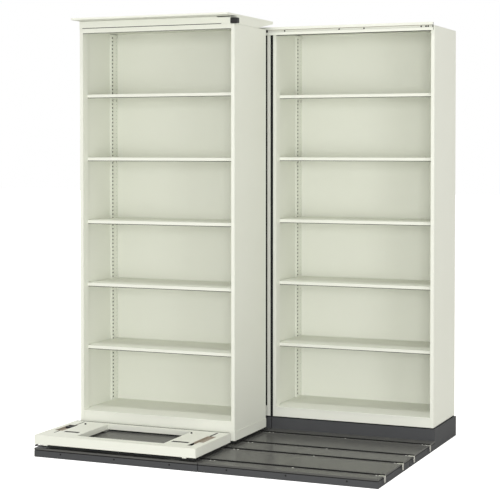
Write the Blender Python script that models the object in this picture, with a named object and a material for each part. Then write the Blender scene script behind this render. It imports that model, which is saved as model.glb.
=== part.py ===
"""Compact mobile shelving: three rows of steel shelving on a floor base with sliding rows.

The back row is fixed. The middle row is a cabinet on a carriage and the front row is a bare
carriage, and both roll sideways along rails that lie flush in the deck. Lengths are in metres,
X runs along the rails, the front is at -Y and Z is up. The origin is the bottom centre of the
whole object.
"""

from math import cos, pi, sin

import bmesh
import bpy
from mathutils import Vector

# Clearances
SEAT_GAP = 0.0003            # between two pieces that touch
RUNNING_GAP = 0.0006         # between a turning piece and what holds it
CUT_OVERRUN = 0.010          # how far a cutter passes the face it opens
SMALL_DISTANCE = 0.000001    # points closer than this are one point
SHEET = 0.002                # folded steel sheet
ROUND_SIDES = 20

# Floor base
MODULE_WIDTH = 0.900
BAY_JOINT = 0.004            # open joint between the left and the right panels
ROW_JOINT = 0.010            # open joint between the front and the middle panels
FRONT_PANEL_DEPTH = 0.487
PANEL_HEIGHT = 0.0315
GROOVE_HEIGHT = 0.0045       # shadow line under the deck edge
GROOVE_DEPTH = 0.004
DECK_FLOOR = 0.002           # board left under a rail

# Rails
RAIL_SHEET = 0.0016
RAIL_SLOT = 0.026
RAIL_DEPTH = 0.007
RAIL_NEAR_FLANGE = 0.020
RAIL_FAR_FLANGE = 0.008
FRONT_RAIL_START = 0.0915    # first rail behind the front of the front row
MIDDLE_RAIL_START = 0.108    # first rail behind the front of the middle row
RAIL_SPACING_MARGIN = 0.134  # a row is this much deeper than its rails are apart
STOP_SHEET = 0.002           # thickness of the plated strip over each end of a rail
STOP_REACH = 0.011           # how far an end stop stands off the end of the base
STOP_OVERLAP = 0.021         # how far it lies on the rail
STOP_DROP = 0.030
STOP_SIDE_MARGIN = 0.0005    # from its edge to the edge of the rail's flange

# Rows
FRONT_ROW_GAP = 0.035        # between the front row and the middle row
BACK_ROW_GAP = 0.071         # between the middle row and the fixed row
MIDDLE_ROW_SIDE_GAP = 0.010  # from the left end of the base to the middle row
FRONT_ROW_SIDE_GAP = 0.001

# Cabinet
CABINET_SIDE_GAP = 0.008     # from the edge of a base module to the cabinet
CABINET_DEPTH = 0.415
CABINET_HEIGHT = 2.055
POST_WIDTH = 0.0185
POST_DEPTH = 0.054
BACK_FOLD = 0.020            # the back panel stands this far in from the rear edge
TOP_RAIL_HEIGHT = 0.0235
KICK_HEIGHT = 0.052
KICK_FOLD_LEVEL = 0.0445
KICK_FOLD_DEPTH = 0.0015
KICK_RETURN = 0.015
BOTTOM_FLANGE_HEIGHT = 0.020
SHELF_COUNT = 5
SHELF_HEIGHT = 0.016
SHELF_SETBACK = 0.004
FIRST_SHELF_LEVEL = 0.3725   # from the cabinet's bottom to the underside of the lowest shelf
TOP_SHELF_DROP = 0.3585      # from the cabinet's top to the underside of the highest shelf
UPRIGHT_WIDTH = 0.010
UPRIGHT_DEPTH = 0.070
UPRIGHT_SHEET = 0.0015
UPRIGHT_TOP_GAP = 0.004      # from an upright to the top panel

# Plinth under the fixed row
PLINTH_MARGIN = 0.003        # the plinth is this much deeper than the cabinet
PLINTH_STEP_INSET = 0.014
PLINTH_STEP_HEIGHT = 0.006

# Guide rail along the top front of the fixed row
GUIDE_DROP = 0.0255          # from the cabinet's top to the rail's lower edge
GUIDE_HEIGHT = 0.042
GUIDE_DEPTH = 0.012
GUIDE_SLOT = 0.0136          # opening between its two lips
GUIDE_END_INSET = 0.005      # from the cabinet's outer side

# Carriages
CARRIAGE_MARGIN = 0.002      # the carriage is this much wider than the cabinet on each side
CARRIAGE_CLEARANCE = 0.0195  # above the deck
CARRIAGE_HEIGHT = 0.0457
FRONT_STRIP_WIDTH = 0.060    # closed strip in front of the bare carriage's opening
REAR_STRIP_WIDTH = 0.027
REAR_STRIP_HEIGHT = 0.026
COVER_THICKNESS = 0.002
COVER_HOLE_RADIUS = 0.006

# End covers of the bare carriage: "along" counts from the cover's outer end, "margin" from its
# inner end, "front" and "rear" from the front and the rear of the row
LEFT_COVER = {
    "width": 0.207,
    "slot_width": 0.050,
    "slot_shift": 0.010,         # from the axle outward to the middle of the slot
    "slot_front": 0.146,
    "slot_rear": 0.105,
    "front_slit_width": 0.008,
    "rear_slit_width": 0.008,
    "front_slit_length": 0.058,
    "rear_slit_length": 0.088,
    "cross_along": 0.096,
    "cross_margin": 0.028,
    "cross_width": 0.026,
    "cross_front": 0.1225,
    "hole_share": 0.488,         # of the width, from the outer end
    "hole_rear": 0.076,
}
RIGHT_COVER = {
    "width": 0.197,
    "slot_width": 0.050,
    "slot_shift": 0.010,
    "slot_front": 0.148,
    "slot_rear": 0.105,
    "front_slit_width": 0.025,
    "rear_slit_width": 0.012,
    "front_slit_length": 0.088,
    "rear_slit_length": 0.085,
    "cross_along": 0.093,
    "cross_margin": 0.014,
    "cross_width": 0.026,
    "cross_front": 0.1095,
    "hole_share": 0.904,
    "hole_rear": 0.081,
}

# Wheelsets
AXLE_INSET = 0.062           # from each end of the carriage
AXLE_RADIUS = 0.006
WHEEL_TOP_GAP = 0.008        # from a wheel to the cover plate above it
WHEEL_WIDTH = 0.014
WHEEL_EDGE = 0.0015
HUB_RADIUS = 0.012
HUB_LENGTH = 0.005
BEARING_DEPTH = 0.008
BEARING_WALL = 0.004

# Header on the middle cabinet
HEADER_HEIGHT = 0.0385
HEADER_TAPER = 0.206         # length of the part whose underside rises towards the rear
HEADER_TIP_HEIGHT = 0.004
HEADER_SHEET = 0.003
HEADER_SLOT_LENGTH = 0.072
HEADER_SLOT_GAP = 0.002      # from the slot to the bumper
HEADER_SLOT_HEIGHT = 0.0045
PLATE_THICKNESS = 0.010
PLATE_FRONT_OVERHANG = 0.090
BUMPER_LENGTH = 0.038
BUMPER_REACH = 0.014         # past the side of the middle row
BUMPER_DEPTH = 0.028
BUMPER_LIFT = 0.0025         # above the foot of the header
BUMPER_DROP = 0.009          # below the top of the header
BUMPER_PROUD = 0.003         # in front of the header
BUMPER_EDGE = 0.0025
ROLLER_RADIUS = 0.010
ROLLER_HEIGHT = 0.020
ROLLER_EDGE = 0.001
ROLLER_LIFT = 0.004          # above the fixed cabinets
ROLLER_STUD_RADIUS = 0.004
ROLLER_INSET = 0.200         # from each end of the middle row
ROLLER_REAR_MARGIN = 0.0034  # from a roller to the rear edge of the top plate

# Sizes that follow from the ones above
BASE_WIDTH = 2 * MODULE_WIDTH
DECK_THICKNESS = RAIL_DEPTH + DECK_FLOOR
DECK_TOP = PANEL_HEIGHT + GROOVE_HEIGHT + DECK_THICKNESS
CABINET_WIDTH = MODULE_WIDTH - 2 * CABINET_SIDE_GAP
CARRIAGE_WIDTH = CABINET_WIDTH + 2 * CARRIAGE_MARGIN
PLINTH_DEPTH = CABINET_DEPTH + PLINTH_MARGIN
RAIL_SPACING = CABINET_DEPTH - RAIL_SPACING_MARGIN
STOP_WIDTH = RAIL_NEAR_FLANGE - 2 * STOP_SIDE_MARGIN
SHELF_PITCH = (CABINET_HEIGHT - FIRST_SHELF_LEVEL - TOP_SHELF_DROP) / (SHELF_COUNT - 1)
BACK_PLANE = CABINET_DEPTH - BACK_FOLD
SIDE_HEIGHT = CABINET_HEIGHT - SHEET
REAR_OVERHANG = BACK_ROW_GAP + RUNNING_GAP + 2 * ROLLER_RADIUS + ROLLER_REAR_MARGIN
HEADER_DEPTH = CABINET_DEPTH + REAR_OVERHANG

# Levels
CARRIAGE_LEVEL = DECK_TOP + CARRIAGE_CLEARANCE
CABINET_LEVEL = CARRIAGE_LEVEL + CARRIAGE_HEIGHT + SEAT_GAP
PLINTH_HEIGHT = CABINET_LEVEL - SEAT_GAP - PLINTH_STEP_HEIGHT
COVER_LEVEL = CARRIAGE_LEVEL + CARRIAGE_HEIGHT - COVER_THICKNESS
RAIL_FLOOR = DECK_TOP - RAIL_DEPTH + RAIL_SHEET
WHEEL_RADIUS = (COVER_LEVEL - WHEEL_TOP_GAP - SEAT_GAP - RAIL_FLOOR) / 2
AXLE_LEVEL = RAIL_FLOOR + SEAT_GAP + WHEEL_RADIUS
CABINET_TOP = CABINET_LEVEL + CABINET_HEIGHT
HEADER_LEVEL = CABINET_TOP + SEAT_GAP
PLATE_LEVEL = HEADER_LEVEL + HEADER_HEIGHT + SEAT_GAP

# Places
BACK_ROW_START = 2 * CABINET_DEPTH + FRONT_ROW_GAP + BACK_ROW_GAP
LEFT = -BASE_WIDTH / 2
FRONT = -(BACK_ROW_START + PLINTH_DEPTH) / 2
MIDDLE_Y = FRONT + CABINET_DEPTH + FRONT_ROW_GAP
BACK_Y = FRONT + BACK_ROW_START
MIDDLE_LEFT = LEFT + MIDDLE_ROW_SIDE_GAP
FRONT_LEFT = LEFT + FRONT_ROW_SIDE_GAP
RAIL_PLACES = (
    FRONT + FRONT_RAIL_START,
    FRONT + FRONT_RAIL_START + RAIL_SPACING,
    MIDDLE_Y + MIDDLE_RAIL_START,
    MIDDLE_Y + MIDDLE_RAIL_START + RAIL_SPACING,
)

# Colours as linear RGB, with roughness and metallic value
FINISHES = {
    "cream_steel": ((0.76, 0.77, 0.67), 0.42, 0.0),
    "dark_panel": ((0.065, 0.068, 0.070), 0.40, 0.0),
    "dark_deck": ((0.105, 0.108, 0.110), 0.28, 0.0),
    "rail_steel": ((0.17, 0.17, 0.16), 0.35, 0.8),
    "axle_steel": ((0.40, 0.40, 0.40), 0.35, 1.0),
    "black_rubber": ((0.015, 0.015, 0.016), 0.75, 0.0),
    "roller_plastic": ((0.60, 0.60, 0.57), 0.45, 0.0),
}


def clear_scene():
    """Remove every object that the file starts with."""
    for old in list(bpy.data.objects):
        bpy.data.objects.remove(old, do_unlink=True)


def make_material(piece_name, finish):
    """Return a new Principled material in one of the listed finishes."""
    colour, roughness, metallic = FINISHES[finish]
    material = bpy.data.materials.new(piece_name + "_" + finish)
    material.use_nodes = True
    shader = material.node_tree.nodes["Principled BSDF"]
    shader.inputs["Base Color"].default_value = (*colour, 1.0)
    shader.inputs["Roughness"].default_value = roughness
    shader.inputs["Metallic"].default_value = metallic
    material.diffuse_color = (*colour, 1.0)
    return material


def make_empty(name, location, parent=None):
    """Return an empty that carries the pieces of one moving assembly."""
    empty = bpy.data.objects.new(name, None)
    bpy.context.collection.objects.link(empty)
    empty.location = location
    empty.parent = parent
    return empty


def make_object(name, shape, location, parent, finish, smooth=False):
    """Turn a bmesh into a named object with its own material."""
    bmesh.ops.recalc_face_normals(shape, faces=shape.faces)
    mesh = bpy.data.meshes.new(name)
    shape.to_mesh(mesh)
    shape.free()
    piece = bpy.data.objects.new(name, mesh)
    bpy.context.collection.objects.link(piece)
    piece.location = location
    piece.parent = parent
    mesh.materials.append(make_material(name, finish))
    if smooth:
        mesh.shade_smooth()
        mesh.set_sharp_from_angle(angle=pi / 6)
    return piece


def make_tool(name, shape, location, parent):
    """Return a guide object that a Boolean modifier reads and the model leaves out."""
    mesh = bpy.data.meshes.new(name)
    bmesh.ops.recalc_face_normals(shape, faces=shape.faces)
    shape.to_mesh(mesh)
    shape.free()
    tool = bpy.data.objects.new(name, mesh)
    bpy.context.collection.objects.link(tool)
    tool.location = location
    tool.parent = parent
    tool.hide_render = True
    tool.display_type = "WIRE"
    return tool


def combine(piece, tool, operation):
    """Add an exact Boolean modifier that applies a tool to a piece."""
    modifier = piece.modifiers.new(tool.name, "BOOLEAN")
    modifier.operation = operation
    modifier.solver = "EXACT"
    modifier.object = tool


def prism(outline, axis, length):
    """Extrude a flat outline along X, Y or Z, starting at zero."""
    shape = bmesh.new()
    corners = []
    for first, second in outline:
        place = {"X": (0, first, second), "Y": (first, 0, second), "Z": (first, second, 0)}[axis]
        corners.append(shape.verts.new(place))
    shape.faces.new(corners)
    grown = bmesh.ops.extrude_face_region(shape, geom=shape.faces[:])
    moved = [item for item in grown["geom"] if isinstance(item, bmesh.types.BMVert)]
    direction = {"X": Vector((1, 0, 0)), "Y": Vector((0, 1, 0)), "Z": Vector((0, 0, 1))}[axis]
    bmesh.ops.translate(shape, verts=moved, vec=direction * length)
    bmesh.ops.recalc_face_normals(shape, faces=shape.faces)
    return shape


def rectangle(first_low, first_high, second_low, second_high):
    """Return the four corners of a rectangle."""
    return [
        (first_low, second_low),
        (first_high, second_low),
        (first_high, second_high),
        (first_low, second_high),
    ]


def block(width, depth, height):
    """Return a box with one corner at zero."""
    return prism(rectangle(0, width, 0, depth), "Z", height)


def tray(outline, axis, length, wall, open_end):
    """Extrude an outline and hollow it from its low or its high end, which leaves a folded pan."""
    shape = prism(outline, axis, length)
    index = "XYZ".index(axis)
    level = 0 if open_end == "low" else length
    ends = [
        face for face in shape.faces
        if all(abs(vert.co[index] - level) < SMALL_DISTANCE for vert in face.verts)
    ]
    bmesh.ops.inset_region(shape, faces=ends, thickness=wall, use_even_offset=True)
    grown = bmesh.ops.extrude_face_region(shape, geom=ends)
    moved = [item for item in grown["geom"] if isinstance(item, bmesh.types.BMVert)]
    push = length - wall if open_end == "low" else wall - length
    offset = Vector((0, 0, 0))
    offset[index] = push
    bmesh.ops.translate(shape, verts=moved, vec=offset)
    bmesh.ops.delete(shape, geom=ends, context="FACES_ONLY")
    bmesh.ops.recalc_face_normals(shape, faces=shape.faces)
    return shape


def raised_block(width, depth, height, inset, rise):
    """Return a box whose top carries a lower, inset step."""
    shape = block(width, depth, height)
    tops = [
        face for face in shape.faces
        if all(abs(vert.co.z - height) < SMALL_DISTANCE for vert in face.verts)
    ]
    bmesh.ops.inset_region(shape, faces=tops, thickness=inset, use_even_offset=True)
    grown = bmesh.ops.extrude_face_region(shape, geom=tops)
    moved = [item for item in grown["geom"] if isinstance(item, bmesh.types.BMVert)]
    bmesh.ops.translate(shape, verts=moved, vec=Vector((0, 0, rise)))
    bmesh.ops.delete(shape, geom=tops, context="FACES_ONLY")
    return shape


def turned(profile, axis):
    """Spin a profile of (place along the axis, radius) points into a solid round the axis."""
    shape = bmesh.new()
    points = []
    for along, radius in profile:
        place = {"Y": (radius, along, 0), "Z": (radius, 0, along)}[axis]
        points.append(shape.verts.new(place))
    edges = [shape.edges.new(pair) for pair in zip(points, points[1:])]
    bmesh.ops.spin(
        shape,
        geom=points + edges,
        axis={"Y": (0, 1, 0), "Z": (0, 0, 1)}[axis],
        cent=(0, 0, 0),
        angle=2 * pi,
        steps=ROUND_SIDES,
    )
    bmesh.ops.remove_doubles(shape, verts=shape.verts, dist=SMALL_DISTANCE)
    bmesh.ops.recalc_face_normals(shape, faces=shape.faces)
    return shape


def cylinder(radius, axis, length):
    """Return a round bar that starts at zero and runs along X, Y or Z."""
    angles = [2 * pi * side / ROUND_SIDES for side in range(ROUND_SIDES)]
    return prism([(radius * cos(angle), radius * sin(angle)) for angle in angles], axis, length)


def mirrored_x(outline, width):
    """Mirror a plan outline inside a given width."""
    return [(width - first, second) for first, second in outline]


def build_base(root):
    """Four floor panels, each with a shadow groove under the deck edge."""
    half_joint = BAY_JOINT / 2
    width = MODULE_WIDTH - half_joint
    middle_start = FRONT_PANEL_DEPTH + ROW_JOINT
    rows = (
        ("front", 0, FRONT_PANEL_DEPTH),
        ("middle", middle_start, BACK_ROW_START - SEAT_GAP - middle_start),
    )
    for row, start, depth in rows:
        for side, left in (("left", LEFT), ("right", half_joint)):
            shape = raised_block(width, depth, PANEL_HEIGHT, GROOVE_DEPTH, GROOVE_HEIGHT - SEAT_GAP)
            name = "base_panel_" + row + "_" + side
            make_object(name, shape, (left, FRONT + start, 0), root, "dark_panel")


def deck_outline():
    """Section of the deck from front to back, with a seat for each rail."""
    depth = BACK_ROW_START - SEAT_GAP
    half_slot = RAIL_SLOT / 2 + RAIL_SHEET + SEAT_GAP
    near = RAIL_SLOT / 2 + RAIL_NEAR_FLANGE + SEAT_GAP
    far = RAIL_SLOT / 2 + RAIL_FAR_FLANGE + SEAT_GAP
    top = DECK_THICKNESS
    shallow = top - RAIL_SHEET - SEAT_GAP
    deep = top - RAIL_DEPTH - SEAT_GAP
    points = [(0, 0), (0, top)]
    for place in RAIL_PLACES:
        centre = place - FRONT
        points += [
            (centre - near, top),
            (centre - near, shallow),
            (centre - half_slot, shallow),
            (centre - half_slot, deep),
            (centre + half_slot, deep),
            (centre + half_slot, shallow),
            (centre + far, shallow),
            (centre + far, top),
        ]
    points += [(depth, top), (depth, 0)]
    return points


def build_decks(root):
    """One deck board over each bay."""
    half_joint = BAY_JOINT / 2
    width = MODULE_WIDTH - half_joint
    level = PANEL_HEIGHT + GROOVE_HEIGHT
    for side, left in (("left", LEFT), ("right", half_joint)):
        shape = prism(deck_outline(), "X", width)
        make_object("deck_" + side, shape, (left, FRONT, level), root, "dark_deck")


def rail_outline():
    """Section of a rail: a shallow channel with a flange on both sides, from its bottom centre."""
    inner = RAIL_SLOT / 2
    outer = inner + RAIL_SHEET
    near = inner + RAIL_NEAR_FLANGE
    far = inner + RAIL_FAR_FLANGE
    under = RAIL_DEPTH - RAIL_SHEET
    return [
        (-near, RAIL_DEPTH),
        (-inner, RAIL_DEPTH),
        (-inner, RAIL_SHEET),
        (inner, RAIL_SHEET),
        (inner, RAIL_DEPTH),
        (far, RAIL_DEPTH),
        (far, under),
        (outer, under),
        (outer, 0),
        (-outer, 0),
        (-outer, under),
        (-near, under),
    ]


def stop_outline():
    """Section of the right end stop, from the end of the rail's flange top."""
    overlap = RAIL_SHEET / 2
    inner = STOP_REACH - STOP_SHEET
    bottom = STOP_SHEET - STOP_DROP
    return [
        (-STOP_OVERLAP, -overlap),
        (-STOP_OVERLAP, STOP_SHEET),
        (STOP_REACH, STOP_SHEET),
        (STOP_REACH, bottom),
        (inner, bottom),
        (inner, -overlap),
    ]


def build_rails(root):
    """Four rails, flush with the deck, each with an end stop folded over both of its ends."""
    flange_centre = -(RAIL_SLOT + RAIL_NEAR_FLANGE) / 2
    for number, place in enumerate(RAIL_PLACES, start=1):
        name = "rail_" + str(number)
        shape = prism(rail_outline(), "X", BASE_WIDTH)
        rail = make_object(name, shape, (LEFT, place, DECK_TOP - RAIL_DEPTH), root, "rail_steel")
        stop_start = place + flange_centre - STOP_WIDTH / 2
        outlines = (
            ("right", -LEFT, stop_outline()),
            ("left", LEFT, mirrored_x(stop_outline(), 0)),
        )
        for side, end, outline in outlines:
            stop = prism(outline, "Y", STOP_WIDTH)
            tool = make_tool(name + "_stop_" + side, stop, (end, stop_start, DECK_TOP), root)
            combine(rail, tool, "UNION")


def build_plinths(root):
    """Two hollow plinths that carry the fixed cabinets on an inset step."""
    half_joint = BAY_JOINT / 2
    width = MODULE_WIDTH - half_joint
    for side, left in (("left", LEFT), ("right", half_joint)):
        shape = raised_block(width, PLINTH_DEPTH, PLINTH_HEIGHT, PLINTH_STEP_INSET, PLINTH_STEP_HEIGHT)
        place = (left, BACK_Y, 0)
        plinth = make_object("plinth_" + side, shape, place, root, "dark_panel")
        hollow_height = PLINTH_HEIGHT - SHEET + CUT_OVERRUN
        hollow = block(width - 2 * SHEET, PLINTH_DEPTH - 2 * SHEET, hollow_height)
        tool_place = (left + SHEET, BACK_Y + SHEET, -CUT_OVERRUN)
        combine(plinth, make_tool("plinth_hollow_" + side, hollow, tool_place, root), "DIFFERENCE")


def side_outline():
    """Plan of a left side panel: the sheet with its front post folded inward."""
    return [
        (0, 0),
        (POST_WIDTH, 0),
        (POST_WIDTH, POST_DEPTH),
        (POST_WIDTH - SHEET, POST_DEPTH),
        (POST_WIDTH - SHEET, SHEET),
        (SHEET, SHEET),
        (SHEET, CABINET_DEPTH),
        (0, CABINET_DEPTH),
    ]


def upright_outline(start):
    """Plan of a left upright: a channel open towards the side panel, from its side edges on."""
    end = SHEET + SEAT_GAP + UPRIGHT_WIDTH
    rear = BACK_PLANE - SEAT_GAP
    front = rear - UPRIGHT_DEPTH
    wall = UPRIGHT_SHEET
    return [
        (start, front),
        (end, front),
        (end, rear),
        (start, rear),
        (start, rear - wall),
        (end - wall, rear - wall),
        (end - wall, front + wall),
        (start, front + wall),
    ]


def shelf_outline(front):
    """Plan of a shelf, notched round the front posts and the rear uprights."""
    side = SHEET + SEAT_GAP
    post = POST_WIDTH + SEAT_GAP
    post_end = POST_DEPTH + SEAT_GAP
    upright = SHEET + UPRIGHT_WIDTH + 2 * SEAT_GAP
    rear = BACK_PLANE - SEAT_GAP
    upright_start = rear - UPRIGHT_DEPTH - SEAT_GAP
    left = [
        (upright, rear),
        (upright, upright_start),
        (side, upright_start),
        (side, post_end),
        (post, post_end),
        (post, front),
    ]
    return left + list(reversed(mirrored_x(left, CABINET_WIDTH)))


def top_section():
    """Section of a top panel from front to back, measured down from its upper face."""
    rear = BACK_PLANE - SEAT_GAP
    return [
        (0, 0),
        (0, -TOP_RAIL_HEIGHT),
        (SHEET, -TOP_RAIL_HEIGHT),
        (SHEET, -SHEET),
        (rear - SHEET, -SHEET),
        (rear - SHEET, -TOP_RAIL_HEIGHT),
        (rear, -TOP_RAIL_HEIGHT),
        (rear, -SHEET),
        (CABINET_DEPTH, -SHEET),
        (CABINET_DEPTH, 0),
    ]


def bottom_section():
    """Section of a bottom panel: kick face with its fold, floor and rear flange."""
    rear = BACK_PLANE - SEAT_GAP
    floor = KICK_HEIGHT - SHEET
    kick_inner = KICK_FOLD_DEPTH + SHEET
    flange = KICK_HEIGHT - BOTTOM_FLANGE_HEIGHT
    return [
        (0, KICK_HEIGHT),
        (0, KICK_FOLD_LEVEL),
        (KICK_FOLD_DEPTH, KICK_FOLD_LEVEL),
        (KICK_FOLD_DEPTH, 0),
        (KICK_RETURN, 0),
        (KICK_RETURN, SHEET),
        (kick_inner, SHEET),
        (kick_inner, floor),
        (rear - SHEET, floor),
        (rear - SHEET, flange),
        (rear, flange),
        (rear, KICK_HEIGHT),
    ]


def build_cabinet_shell(name, place, parent):
    """Back, top and bottom of a cabinet."""
    x, y, z = place
    inner = SHEET + SEAT_GAP
    back_outline = rectangle(inner, CABINET_WIDTH - inner, 0, SIDE_HEIGHT - SEAT_GAP)
    back = tray(back_outline, "Y", BACK_FOLD, SHEET, "high")
    make_object(name + "_back", back, (x, y + BACK_PLANE, z), parent, "cream_steel")

    lid = prism(top_section(), "X", CABINET_WIDTH)
    top = make_object(name + "_top", lid, (x, y, z + CABINET_HEIGHT), parent, "cream_steel")
    floor = prism(bottom_section(), "X", CABINET_WIDTH - 2 * inner)
    bottom = make_object(name + "_bottom", floor, (x + inner, y, z), parent, "cream_steel")

    post = POST_WIDTH + SEAT_GAP
    post_end = POST_DEPTH + SEAT_GAP
    notch_width = post + CUT_OVERRUN
    relief_height = TOP_RAIL_HEIGHT - SHEET + SEAT_GAP + CUT_OVERRUN
    relief_level = z + SIDE_HEIGHT + SEAT_GAP - relief_height
    full_depth = CABINET_DEPTH + 2 * CUT_OVERRUN
    for side, start in (("left", -CUT_OVERRUN), ("right", CABINET_WIDTH - post)):
        relief = block(notch_width, full_depth, relief_height)
        relief_place = (x + start, y - CUT_OVERRUN, relief_level)
        combine(top, make_tool(name + "_top_relief_" + side, relief, relief_place, parent), "DIFFERENCE")
        notch = block(notch_width, post_end + CUT_OVERRUN, KICK_HEIGHT + 2 * CUT_OVERRUN)
        notch_place = (x + start, y - CUT_OVERRUN, z - CUT_OVERRUN)
        combine(bottom, make_tool(name + "_post_notch_" + side, notch, notch_place, parent), "DIFFERENCE")


def build_cabinet(name, place, parent, welded_uprights):
    """One cabinet: its shell, sides with their posts, uprights and shelves."""
    x, y, z = place
    build_cabinet_shell(name, place, parent)
    upright_height = SIDE_HEIGHT - KICK_HEIGHT - SEAT_GAP - UPRIGHT_TOP_GAP
    upright_place = (x, y, z + KICK_HEIGHT + SEAT_GAP)
    upright_start = SHEET / 2 if welded_uprights else SHEET + SEAT_GAP
    plans = (
        ("left", side_outline(), upright_outline(upright_start)),
        (
            "right",
            mirrored_x(side_outline(), CABINET_WIDTH),
            mirrored_x(upright_outline(upright_start), CABINET_WIDTH),
        ),
    )
    for end, panel_plan, upright_plan in plans:
        panel = prism(panel_plan, "Z", SIDE_HEIGHT)
        side = make_object(name + "_side_" + end, panel, (x, y, z), parent, "cream_steel")
        upright = prism(upright_plan, "Z", upright_height)
        upright_name = name + "_upright_" + end
        if welded_uprights:
            combine(side, make_tool(upright_name, upright, upright_place, parent), "UNION")
        else:
            make_object(upright_name, upright, upright_place, parent, "cream_steel")

    for number in range(SHELF_COUNT):
        level = z + FIRST_SHELF_LEVEL + number * SHELF_PITCH
        shelf = tray(shelf_outline(SHELF_SETBACK), "Z", SHELF_HEIGHT, SHEET, "low")
        make_object(name + "_shelf_" + str(number + 1), shelf, (x, y, level), parent, "cream_steel")


def guide_outline():
    """Section of the guide rail: a lipped channel that is open to the front."""
    lower_lip = (GUIDE_HEIGHT - GUIDE_SLOT) / 2
    upper_lip = lower_lip + GUIDE_SLOT
    rear = GUIDE_DEPTH - SHEET
    return [
        (0, 0),
        (GUIDE_DEPTH, 0),
        (GUIDE_DEPTH, GUIDE_HEIGHT),
        (0, GUIDE_HEIGHT),
        (0, upper_lip),
        (SHEET, upper_lip),
        (SHEET, GUIDE_HEIGHT - SHEET),
        (rear, GUIDE_HEIGHT - SHEET),
        (rear, SHEET),
        (SHEET, SHEET),
        (SHEET, lower_lip),
        (0, lower_lip),
    ]


def build_guide_rail(root):
    """Guide rail along the top front of the fixed row."""
    inset = CABINET_SIDE_GAP + GUIDE_END_INSET
    length = BASE_WIDTH - 2 * inset
    front = BACK_Y - SEAT_GAP - GUIDE_DEPTH
    shape = prism(guide_outline(), "X", length)
    level = CABINET_TOP - GUIDE_DROP
    make_object("guide_rail", shape, (LEFT + inset, front, level), root, "cream_steel")


def add_bearings(name, carriage, top, parent):
    """Give a carriage four blocks behind its front and rear faces that hold the axle ends."""
    half_width = AXLE_RADIUS + RUNNING_GAP + BEARING_WALL
    axle = AXLE_LEVEL - parent.location.z
    bottom = axle - half_width
    overlap = SHEET / 2
    depth = BEARING_DEPTH + overlap
    axles = (("left", AXLE_INSET), ("right", CARRIAGE_WIDTH - AXLE_INSET))
    ends = (("front", overlap), ("rear", CABINET_DEPTH - overlap - depth))
    for side, along in axles:
        for end, start in ends:
            shape = block(2 * half_width, depth, top - bottom)
            place = (along - half_width, start, bottom)
            tool = make_tool(name + "_bearing_" + end + "_" + side, shape, place, parent)
            combine(carriage, tool, "UNION")
    for side, along in axles:
        bore = cylinder(AXLE_RADIUS + RUNNING_GAP, "Y", CABINET_DEPTH - 2 * SHEET)
        tool = make_tool(name + "_bore_" + side, bore, (along, SHEET, axle), parent)
        combine(carriage, tool, "DIFFERENCE")


def build_middle_carriage(parent):
    """Carriage under the middle cabinet: a pan that is open at the bottom."""
    shape = tray(rectangle(0, CARRIAGE_WIDTH, 0, CABINET_DEPTH), "Z", CARRIAGE_HEIGHT, SHEET, "low")
    level = CARRIAGE_LEVEL - parent.location.z
    carriage = make_object("middle_carriage", shape, (0, 0, level), parent, "cream_steel")
    add_bearings("middle", carriage, level + CARRIAGE_HEIGHT - SHEET / 2, parent)


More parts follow.
